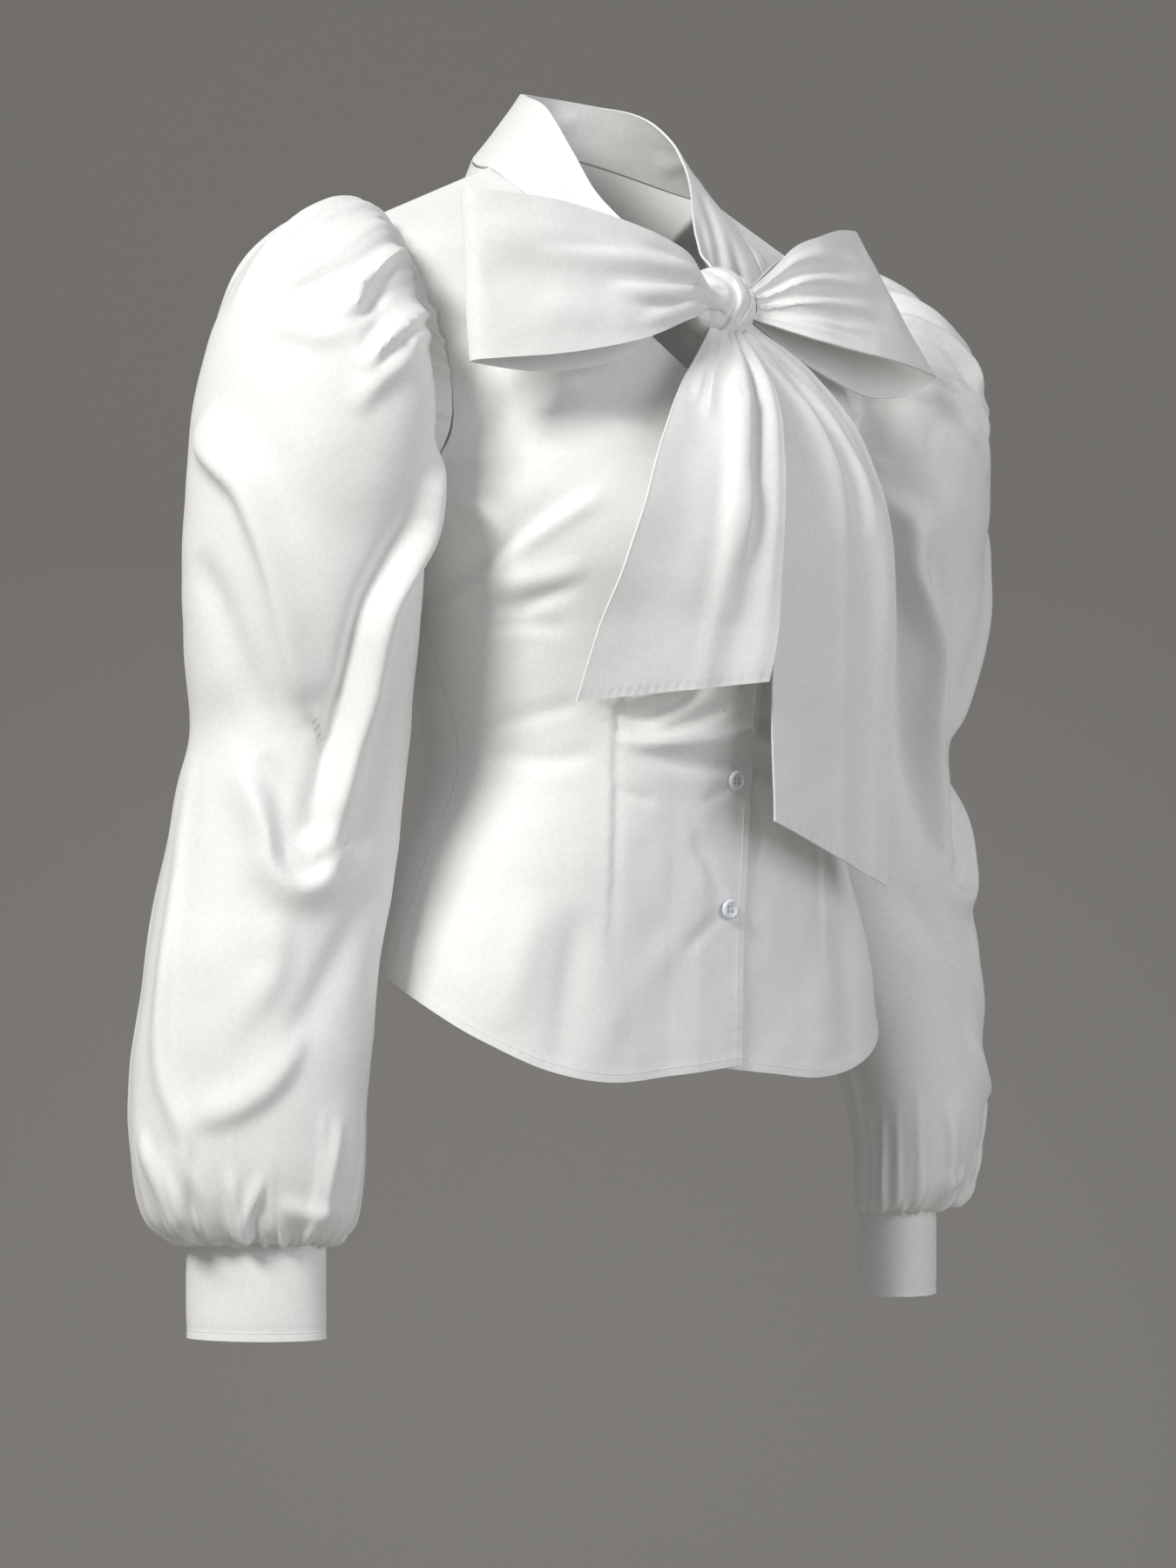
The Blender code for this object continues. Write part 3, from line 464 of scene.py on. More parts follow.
HEM = (
    HemPoint(0.00, -0.520, -0.503),
    HemPoint(0.20, -0.525, -0.490),
    HemPoint(0.40, -0.528, -0.473),
    HemPoint(0.55, -0.521, -0.467),
    HemPoint(0.70, -0.505, -0.465),
    HemPoint(0.85, -0.486, -0.466),
    HemPoint(1.00, -0.470, -0.470),
)
ArmholePoint = namedtuple("ArmholePoint", "z front_x back_x")
ARMHOLE = (
    ArmholePoint(-0.182, 0.1515, 0.1530),
    ArmholePoint(-0.162, 0.1490, 0.1520),
    ArmholePoint(-0.135, 0.1500, 0.1545),
    ArmholePoint(-0.105, 0.1545, 0.1590),
    ArmholePoint(-0.080, 0.1595, 0.1630),
    ArmholePoint(-0.060, 0.1645, 0.1670),
)
print("Body rings:", len(BODY_RINGS))


# %% The body's surface
def body_ring(z):
    """Half width, front, back and side y, and squareness of the body at one height."""
    return smooth_column([ring.z for ring in BODY_RINGS], [ring[1:] for ring in BODY_RINGS], float(z))


def front_y(x, z):
    """The front of the body at a distance from the middle, with the bust."""
    half_width, front, _, side, squareness = body_ring(z)
    share = np.clip(np.abs(x) / half_width, 0.0, 1.0)
    y = side + (front - side) * (1.0 - share**squareness) ** (1.0 / squareness)
    bust = np.exp(-((np.abs(x) - BUST_X) / BUST_SPREAD_X) ** 2 - ((z - BUST_Z) / BUST_SPREAD_Z) ** 2)
    return y - BUST_OUT * bust * np.sqrt(1.0 - share**4)


def back_y(x, z):
    """The back of the body at a distance from the middle."""
    half_width, _, back, side, _ = body_ring(z)
    share = np.clip(np.abs(x) / half_width, 0.0, 1.0)
    return side + (back - side) * (1.0 - share**BACK_SQUARENESS) ** (1.0 / BACK_SQUARENESS)


def even_row(surface, z, x_from, x_to, count):
    """Points evenly spaced along the body at one height, between two distances."""
    half_width = body_ring(z)[0]
    angles = np.linspace(math.asin(np.clip(x_from / half_width, -1, 1)),
                         math.asin(np.clip(x_to / half_width, -1, 1)), 240)
    x = half_width * np.sin(angles)
    y = surface(x, z)
    length = np.concatenate([[0.0], np.cumsum(np.hypot(np.diff(x), np.diff(y)))])
    even = np.linspace(0.0, length[-1], count + 1)
    return np.column_stack([np.interp(even, length, x), np.interp(even, length, y),
                            np.full(count + 1, float(z))])


def hem_height(share, back):
    """Height of the hem at a share of the way from the middle to the side seam."""
    column = [point.back_z if back else point.front_z for point in HEM]
    return smooth_column([point.share for point in HEM], column, share)


def neckline_x(z):
    """Distance of the right front's inner edge from the middle: past it at the placket."""
    corner_x, corner_z = COLLAR_CORNER
    heights = (VEE_Z, 0.5 * (VEE_Z + corner_z), corner_z, YOKE_Z, SIDE_NECK[2])
    halfway = 0.5 * (corner_x - PLACKET_OVERHANG) - NECKLINE_HOLLOW
    edges = (-PLACKET_OVERHANG, halfway, corner_x, NECKLINE_AT_YOKE, SIDE_NECK[0])
    return float(np.interp(z, heights, edges))


def armhole_x(z, back):
    """Distance of the armhole edge from the middle at one height."""
    column = [point.back_x if back else point.front_x for point in ARMHOLE]
    return float(smooth_column([point.z for point in ARMHOLE], column, z))


# %% Rows of the panels, close together
HEM_ROWS, WAIST_ROWS, ARMHOLE_ROWS, YOKE_ROWS = 26, 84, 40, 16


def set_back(edge, inner):
    """An edge row drawn back a little from the ridge of the shoulder."""
    away = edge - inner
    return edge - SHOULDER_SETBACK * away / np.linalg.norm(away, axis=1)[:, None]


def panel_rows(surface, columns, edges_low, edges_high, hem, top_line, crown):
    """Rows of a body panel from the hem to the shoulder."""
    rows = []
    for step in np.linspace(0.0, 1.0, HEM_ROWS, endpoint=False):
        heights = hem + (HEM_ZONE_Z - hem) * step
        rows.append(np.array([even_row(surface, z, *edges_low(z), columns)[k] for k, z in enumerate(heights)]))
    for z in np.linspace(HEM_ZONE_Z, UNDERARM_Z, WAIST_ROWS):
        rows.append(even_row(surface, z, *edges_low(z), columns))
    first_z = len(rows)
    for z in np.linspace(ARMHOLE[0].z, YOKE_Z, ARMHOLE_ROWS):
        rows.append(even_row(surface, z, *edges_high(z), columns))
    last = rows[-1]
    top = top_line(last)
    for step in np.linspace(0.0, 1.0, YOKE_ROWS + 1)[1:]:
        row = last + (top - last) * step
        row[:, 1] += crown * math.sin(math.pi * step)
        rows.append(row)
    rows[-1] = set_back(rows[-1], rows[-2])
    return np.array(rows), first_z


FRONT_COLUMNS, BACK_COLUMNS = 100, 170


def front_top(last):
    """The front's edge at the shoulder seam."""
    return np.linspace(SIDE_NECK, SHOULDER_TIP, len(last))


def back_top(last):
    """The back's shoulder seams and neck seam."""
    share = last[:, 0] / last[-1, 0]
    neck_share = SIDE_NECK[0] / SHOULDER_TIP[0]
    side = np.clip((np.abs(share) - neck_share) / (1.0 - neck_share), 0.0, 1.0)
    neck = np.clip(np.abs(share) / neck_share, 0.0, 1.0)
    shoulder = np.array(SIDE_NECK) + side[:, None] * (np.array(SHOULDER_TIP) - np.array(SIDE_NECK))
    inside = np.cos(0.5 * math.pi * neck)
    x = np.where(neck < 1.0, SIDE_NECK[0] * np.sin(0.5 * math.pi * neck), shoulder[:, 0])
    y = np.where(neck < 1.0, BACK_NECK_Y * inside, shoulder[:, 1])
    z = np.where(neck < 1.0, SIDE_NECK[2] + (BACK_NECK_RISE - SIDE_NECK[2]) * inside**1.5, shoulder[:, 2])
    return np.column_stack([np.sign(share) * x, y, z])


front_grid, underarm_row = panel_rows(
    front_y, FRONT_COLUMNS,
    lambda z: (neckline_x(z), body_ring(z)[0]),
    lambda z: (neckline_x(z), armhole_x(z, False)),
    hem_height(np.linspace(0.0, 1.0, FRONT_COLUMNS + 1), False), front_top, -YOKE_CROWN)
front_grid[:, :, 1] -= 0.5 * SEAM_GAP
back_grid, _ = panel_rows(
    back_y, BACK_COLUMNS,
    lambda z: (-body_ring(z)[0], body_ring(z)[0]),
    lambda z: (-armhole_x(z, True), armhole_x(z, True)),
    hem_height(np.abs(np.linspace(-1.0, 1.0, BACK_COLUMNS + 1)), True), back_top, YOKE_CROWN)
back_grid[:, :, 1] += 0.5 * SEAM_GAP
print("Front grid", front_grid.shape, "back grid", back_grid.shape)

# %% [markdown]
# The fronts are fitted by darts, which are wedges of cloth sewn away. A bust dart runs from the
# side seam up towards the bust, and a waist dart runs down the middle of each front. Each dart is
# a fine sewn line with a lapped fold along it. Around them the cloth is drawn into soft creases:
# under the bust, and across the front where the closed placket pulls.

# %% Folds of the fronts, as distance from the middle and height
FRONT_FOLDS = (
    Fold(((0.141, -0.256), (0.139, -0.245), (0.126, -0.220), (0.108, -0.203)), 0.0030, 0.0050, 0.014, 0.6, 0.2),
    Fold(((0.130, -0.232), (0.114, -0.214), (0.098, -0.203)), -0.0022, 0.007, 0.007, 0.2, 0.1),
    Fold(((0.137, -0.261), (0.125, -0.264), (0.118, -0.260), (0.106, -0.251)), 0.0026, 0.006, 0.010, 0.3, 0.1),
    Fold(((0.132, -0.250), (0.118, -0.249), (0.104, -0.241)), -0.0020, 0.008, 0.008, 0.2, 0.1),
    Fold(((0.130, -0.274), (0.122, -0.273), (0.104, -0.276)), 0.0018, 0.005, 0.009, 0.3, 0.1),
    Fold(((0.146, -0.204), (0.139, -0.212), (0.135, -0.222), (0.134, -0.234)), -0.0028, 0.008, 0.007, 0.2, 0.2),
    Fold(((0.147, -0.170), (0.126, -0.154), (0.100, -0.141)), 0.0024, 0.012, 0.016, 0.6, 0.0),
    Fold(((0.145, -0.150), (0.120, -0.128), (0.090, -0.110)), -0.0018, 0.014, 0.014, 0.3, 0.0),
    Fold(((0.095, -0.150), (0.060, -0.160), (0.030, -0.178)), 0.0016, 0.008, 0.014, 0.1, 0.3),
    Fold(((0.105, -0.185), (0.070, -0.188), (0.030, -0.196)), 0.0014, 0.007, 0.014, 0.1, 0.2),
    Fold(((0.150, -0.112), (0.130, -0.100), (0.104, -0.090)), 0.0016, 0.010, 0.012, 0.6, 0.0),
    Fold(((0.077, -0.322), (0.060, -0.325), (0.044, -0.317), (0.026, -0.304)), 0.0052, 0.0055, 0.010, 0.5, 0.1),
    Fold(((0.076, -0.312), (0.058, -0.309), (0.040, -0.298)), -0.0026, 0.007, 0.007, 0.3, 0.1),
    Fold(((0.077, -0.331), (0.055, -0.333), (0.030, -0.326), (0.006, -0.316)), 0.0026, 0.004, 0.008, 0.5, 0.1),
    Fold(((0.074, -0.337), (0.046, -0.338), (0.010, -0.334), (-0.008, -0.331)),
         -0.0022, 0.005, 0.006, 0.2, 0.4),
    Fold(((0.063, -0.345), (0.030, -0.350), (-0.008, -0.348)), 0.0024, 0.006, 0.010, 0.2, 0.5),
    Fold(((0.073, -0.366), (0.064, -0.369), (0.052, -0.372)), 0.0010, 0.0025, 0.005, 0.6, 0.1),
    Fold(((0.022, -0.433), (0.042, -0.449), (0.070, -0.482), (0.084, -0.506)), -0.0010, 0.016, 0.014, 0.1, 0.4),
    Fold(((0.036, -0.430), (0.058, -0.462), (0.072, -0.500)), 0.0008, 0.014, 0.014, 0.1, 0.4),
    Fold(((0.098, -0.430), (0.104, -0.465), (0.110, -0.509)), 0.0022, 0.012, 0.014, 0.1, 0.6),
    Fold(((0.118, -0.420), (0.128, -0.455), (0.137, -0.488)), -0.0020, 0.014, 0.014, 0.1, 0.5),
    Fold(((0.028, -0.388), (0.018, -0.404), (0.008, -0.420)), 0.0012, 0.004, 0.006, 0.1, 0.5),
    Fold(((0.024, -0.372), (0.010, -0.364), (0.002, -0.360)), 0.0010, 0.004, 0.005, 0.1, 0.4),
    Fold(((0.030, -0.455), (0.016, -0.443), (0.004, -0.434)), 0.0010, 0.004, 0.006, 0.1, 0.4),
    Fold(((0.120, -0.345), (0.104, -0.349), (0.086, -0.345)), 0.0016, 0.006, 0.009, 0.5, 0.1),
    Fold(((0.121, -0.330), (0.107, -0.322), (0.094, -0.317)), 0.0014, 0.005, 0.008, 0.5, 0.1),
)
WAIST_DART = ((0.074, -0.268), (0.076, -0.315), (0.077, -0.341), (0.077, -0.366), (0.079, -0.396),
              (0.080, -0.419), (0.083, -0.469))
SEWN_LINES = (
    Fold(WAIST_DART, 0.0016, 0.0011, 0.0052, 0.0, 0.0),
    Fold(WAIST_DART, -0.0009, 0.0060, 0.0024, 0.0, 0.0),
    Fold(((0.146, -0.262), (0.139, -0.245), (0.128, -0.223)), 0.0009, 0.0010, 0.0040, 1.0, 0.0),
)


def on_front(line):
    """Points of the front at distances and heights."""
    return np.array([(x, float(front_y(x, z)), z) for x, z in line])


# %% Hems, seams and the placket
HEM_WIDTH = 0.0055
HEM_RAISE = 0.00035
PUCKER_LENGTH = 0.0062
PUCKER_HEIGHT = 0.00065
TURN_SOFTNESS = 0.0004      # how gently the turned-under layer ends
STEEPEST = 30.0             # keeps the exponent small enough to work out


def edge_distance(grid, edge):
    """Distance of every point from one edge of the grid, measured along the cloth."""
    steps = np.linalg.norm(np.diff(grid, axis=0 if edge in ("low", "high") else 1), axis=2)
    axis = 0 if edge in ("low", "high") else 1
    length = np.cumsum(steps, axis=axis)
    zero = np.zeros_like(np.take(length, [0], axis=axis))
    length = np.concatenate([zero, length], axis=axis)
    if edge in ("high", "last"):
        length = np.take(length, [-1], axis=axis) - length
    return length


def along_edge(grid, edge):
    """Length along the edge at every point of the grid."""
    if edge in ("low", "high"):
        line = grid[0 if edge == "low" else -1]
    else:
        line = grid[:, 0 if edge == "first" else -1]
    length = np.concatenate([[0.0], np.cumsum(np.linalg.norm(np.diff(line, axis=0), axis=1))])
    return length[None, :] if edge in ("low", "high") else length[:, None]


def sewn_edge(grid, closed, edge, width, raise_by, pucker, seed):
    """An edge turned under and stitched: a little thicker, and drawn into small puckers."""
    normals = grid_normals(grid, closed)
    away = edge_distance(grid, edge)
    along = along_edge(grid, edge) + 0.0 * away
    turned = 1.0 / (1.0 + np.exp(np.clip((away - width) / TURN_SOFTNESS, -STEEPEST, STEEPEST)))
    drawn = np.exp(-((away - 0.75 * width) / (0.7 * width)) ** 2)
    wave = np.sin(2.0 * math.pi * along / PUCKER_LENGTH + 1.7 * np.sin(61.0 * along + seed))
    uneven = 0.55 + 0.45 * np.sin(43.0 * along + 2.0 * seed) * np.sin(17.0 * along + seed)
    push = raise_by * turned + pucker * drawn * wave * uneven
    return grid + push[:, :, None] * normals


# %% Make the three panels
def mirrored(grid):
    """The same grid on the wearer's right side."""
    return grid * np.array([-1.0, 1.0, 1.0])


LAP_END, LAP_EASE = 0.040, 0.020     # where the lap ends, and over what width it eases off


def lapped(grid):
    """The right front near the middle, moved out to lie on the left front."""
    out = grid.copy()
    out[:, :, 1] -= LAP_STEP * np.clip((LAP_END - grid[:, :, 0]) / LAP_EASE, 0.0, 1.0)
    return out


def seam_hold(grid, closed, edges, width):
    """0 at the given edges of a grid and 1 further in, to keep swells off the seams."""
    hold = np.ones(grid.shape[:2])
    for edge in edges:
        hold = hold * np.clip(edge_distance(grid, edge) / width, 0.0, 1.0)
    return hold


FRONT_DEPTH, FRONT_WIDTH = 1.35, 0.80
PLACKET_WIDTH, PLACKET_RAISE = 0.0060, 0.0002


def front_panel(side):
    """One front with its folds, dart, placket edge and hem: side is 1 for left, -1 for right."""
    grid = press_folds(front_grid, False, scaled(FRONT_FOLDS, FRONT_DEPTH, FRONT_WIDTH), on_front)
    grid = press_folds(grid, False, SEWN_LINES, on_front)
    seed = 1.0 if side > 0 else 2.0
    hold = seam_hold(grid, False, ("last", "high"), 0.020)
    grid = unevenness(grid, False, 0.0009, 0.045, seed, hold)
    grid = sewn_edge(grid, False, "low", HEM_WIDTH, HEM_RAISE, 0.6 * PUCKER_HEIGHT, seed)
    grid = sewn_edge(grid, False, "first", PLACKET_WIDTH, PLACKET_RAISE, PUCKER_HEIGHT, seed + 4.0)
    if side < 0:
        grid = mirrored(lapped(grid))
    return grid


right_front_grid = front_panel(-1)
left_front_grid = front_panel(1)
outward_front = np.array([0.0, -1.0, 0.0])
front_right = cloth_sheet("poplin_front_right", right_front_grid, outward=outward_front)
front_left = cloth_sheet("poplin_front_left", left_front_grid, outward=outward_front)
print("Fronts:", len(front_right.data.polygons), len(front_left.data.polygons))

# %% The back, with two waist darts and the creases above them
BACK_FOLDS = (
    Fold(((0.060, -0.250), (0.062, -0.345), (0.066, -0.440)), 0.0016, 0.0011, 0.0060, 0.0, 0.0),
    Fold(((-0.060, -0.250), (-0.062, -0.345), (-0.066, -0.440)), 0.0016, 0.0060, 0.0011, 0.0, 0.0),
    Fold(((-0.112, -0.325), (-0.060, -0.338), (0.000, -0.334), (0.050, -0.338)),
         0.0030, 0.008, 0.012, 0.2, 0.1),
    Fold(((0.115, -0.352), (0.070, -0.358), (0.010, -0.352)), 0.0026, 0.007, 0.012, 0.4, 0.0),
    Fold(((0.118, -0.318), (0.080, -0.312), (0.030, -0.318)), 0.0022, 0.007, 0.010, 0.4, 0.0),
    Fold(((-0.118, -0.300), (-0.080, -0.304), (-0.034, -0.298)), 0.0020, 0.007, 0.010, 0.4, 0.0),
    Fold(((-0.146, -0.185), (-0.110, -0.215), (-0.080, -0.260)), 0.0024, 0.012, 0.016, 0.7, 0.0),
    Fold(((0.147, -0.180), (0.118, -0.212), (0.092, -0.262)), 0.0026, 0.012, 0.014, 0.7, 0.0),
    Fold(((0.150, -0.140), (0.110, -0.150), (0.060, -0.165)), 0.0016, 0.010, 0.016, 0.6, 0.0),
    Fold(((-0.152, -0.130), (-0.116, -0.142), (-0.070, -0.150)), 0.0018, 0.010, 0.016, 0.6, 0.0),
    Fold(((0.030, -0.400), (0.024, -0.450), (0.030, -0.495)), -0.0020, 0.014, 0.014, 0.0, 0.5),
    Fold(((-0.100, -0.395), (-0.110, -0.430), (-0.112, -0.468)), 0.0022, 0.012, 0.014, 0.0, 0.6),
    Fold(((0.104, -0.392), (0.112, -0.430), (0.118, -0.466)), 0.0020, 0.012, 0.014, 0.0, 0.6),
    Fold(((-0.030, -0.060), (-0.020, -0.110), (-0.030, -0.160)), -0.0012, 0.020, 0.020, 0.0, 0.0),
)


def on_back(line):
    """Points of the back at distances and heights."""
    return np.array([(x, float(back_y(x, z)), z) for x, z in line])


back_pressed = press_folds(back_grid, False, BACK_FOLDS, on_back)
back_hold = seam_hold(back_pressed, False, ("first", "last", "high"), 0.020)
back_pressed = unevenness(back_pressed, False, 0.0011, 0.055, 3.0, back_hold)
back_pressed = sewn_edge(back_pressed, False, "low", HEM_WIDTH, HEM_RAISE, 0.6 * PUCKER_HEIGHT, 5.0)
back = cloth_sheet("poplin_back", back_pressed, outward=np.array([0.0, 1.0, 0.0]))
print("Back:", len(back.data.polygons))

# %% [markdown]
# ## The sleeves
#
# Each sleeve is one full tube, much wider than the arm, gathered into the armhole above and into
# the cuff below. It is read from seventeen rings. The gathers at the shoulder are many short
# uneven folds that start on the seam and fade out within a few centimetres. Below them the cloth
# is nearly smooth until the elbow, where the upper part sinks over the lower one in a deep pouch.
# A cloth simulation could find such a pouch, but not this one, so its edges are given one by one.

# %% Sizes of the sleeve
SleeveRing = namedtuple("SleeveRing", "outer inner half_depth middle_y")
SLEEVE_RINGS = (
    SleeveRing((0.1820, -0.001, -0.0375), (0.1585, 0.000, -0.1975), 0.0440, -0.002),
    SleeveRing((0.2030, -0.006, -0.0400), (0.1600, 0.000, -0.2035), 0.0600, -0.008),
    SleeveRing((0.2320, -0.010, -0.0560), (0.1600, 0.000, -0.2110), 0.0710, -0.012),
    SleeveRing((0.2570, -0.012, -0.0840), (0.1590, 0.000, -0.2190), 0.0750, -0.014),
    SleeveRing((0.2730, -0.011, -0.1220), (0.1570, -0.001, -0.2290), 0.0740, -0.013),
    SleeveRing((0.2820, -0.008, -0.1650), (0.1550, -0.003, -0.2400), 0.0705, -0.009),
    SleeveRing((0.2845, -0.004, -0.2100), (0.1540, -0.005, -0.2540), 0.0665, -0.005),
    SleeveRing((0.2840, 0.000, -0.2550), (0.1530, -0.003, -0.2750), 0.0640, -0.002),
    SleeveRing((0.2790, 0.005, -0.3020), (0.1515, 0.003, -0.3080), 0.0610, 0.004),
    SleeveRing((0.2740, 0.010, -0.3340), (0.1510, 0.007, -0.3370), 0.0590, 0.007),
    SleeveRing((0.2820, 0.013, -0.3660), (0.1560, 0.005, -0.3700), 0.0580, 0.008),
    SleeveRing((0.2915, 0.013, -0.4100), (0.1650, 0.002, -0.4140), 0.0565, 0.007),
    SleeveRing((0.3045, 0.013, -0.4700), (0.1840, -0.010, -0.4740), 0.0530, 0.001),
    SleeveRing((0.3110, 0.017, -0.5250), (0.1960, -0.022, -0.5290), 0.0480, -0.002),
    SleeveRing((0.3120, 0.018, -0.5680), (0.2025, -0.028, -0.5720), 0.0430, -0.005),
    SleeveRing((0.3010, 0.020, -0.6000), (0.2050, -0.024, -0.6030), 0.0380, -0.002),
    SleeveRing((0.2850, 0.020, -0.6125), (0.2100, -0.015, -0.6135), 0.0325, 0.002),
)
CUFF_OUTER, CUFF_INNER = (0.2760, 0.0186), (0.2140, -0.0106)
CUFF_HALF_DEPTH, CUFF_MIDDLE_Y = 0.0300, 0.0040
CUFF_TOP_Z, CUFF_FOOT_Z = -0.6140, -0.6685
SLEEVE_COLUMNS, SLEEVE_STATIONS = 210, 190


def sleeve_angles(count):
    """Angles round an arm in degrees, from -90 at the underarm: 0 front, 90 outside, 180 back."""
    return -90.0 + 360.0 * np.arange(count) / count


def sleeve_ring(ring, angles):
    """Points of one ring of a left sleeve, before its folds."""
    turn = np.radians(angles)
    outer, inner = np.array(ring.outer), np.array(ring.inner)
    middle = 0.5 * (outer + inner)
    points = middle + np.outer(np.sin(turn), 0.5 * (outer - inner))
    points[:, 1] += (ring.middle_y - middle[1]) * np.cos(turn) ** 2 - ring.half_depth * np.cos(turn)
    return points


def cuff_ring(z):
    """The oval of a left cuff at one height."""
    return SleeveRing((*CUFF_OUTER, z), (*CUFF_INNER, z), CUFF_HALF_DEPTH, CUFF_MIDDLE_Y)


# %% The tube from the armhole to the cuff
def walk(points, share):
    """Points at shares of the length of a line through points."""
    steps = np.linalg.norm(np.diff(points, axis=0), axis=1)
    length = np.concatenate([[0.0], np.cumsum(steps)])
    at = np.asarray(share) * length[-1]
    return np.column_stack([np.interp(at, length, points[:, k]) for k in range(3)])


def armhole_points(angles):
    """Points round the left armhole: front, shoulder tip, back and underarm."""
    front = front_grid[underarm_row - 1:, -1]
    rear = back_grid[underarm_row - 1:, -1]
    on_front_edge = walk(front, np.clip((angles + 90.0) / 180.0, 0.0, 1.0))
    on_back_edge = walk(rear, np.clip((270.0 - angles) / 180.0, 0.0, 1.0))
    return np.where((angles <= 90.0)[:, None], on_front_edge, on_back_edge)


def sleeve_stations(angles):
    """The armhole, every ring and the cuff's top edge, at the given angles."""
    loop = armhole_points(angles)
    rings = [sleeve_ring(ring, angles) for ring in SLEEVE_RINGS]
    outward = rings[0] - loop
    outward /= np.linalg.norm(outward, axis=1)[:, None]
    foot = sleeve_ring(cuff_ring(CUFF_TOP_Z + SEAT), angles)
    return np.array([loop + ARMHOLE_SEAT * outward] + rings + [foot])


def sleeve_points(angles, rings):
    """Points of the plain sleeve at angles and ring numbers, one of each for every point."""
    stations = sleeve_stations(np.asarray(angles, float))
    keys = np.arange(len(stations), dtype=float)
    return np.array([smooth_column(keys, stations[:, k], float(ring)) for k, ring in enumerate(rings)])


stations = sleeve_stations(sleeve_angles(SLEEVE_COLUMNS))
keys = np.arange(len(stations), dtype=float)
lengths = np.concatenate([[0.0], np.cumsum(np.linalg.norm(np.diff(stations, axis=0), axis=2).max(axis=1))])
even_keys = np.interp(np.linspace(0.0, lengths[-1], SLEEVE_STATIONS), lengths, keys)
plain_sleeve = smooth_column(keys, stations.reshape(len(stations), -1), even_keys)
plain_sleeve = plain_sleeve.reshape(SLEEVE_STATIONS, SLEEVE_COLUMNS, 3)
print("Sleeve length along its outside:", round(float(lengths[-1]), 3))

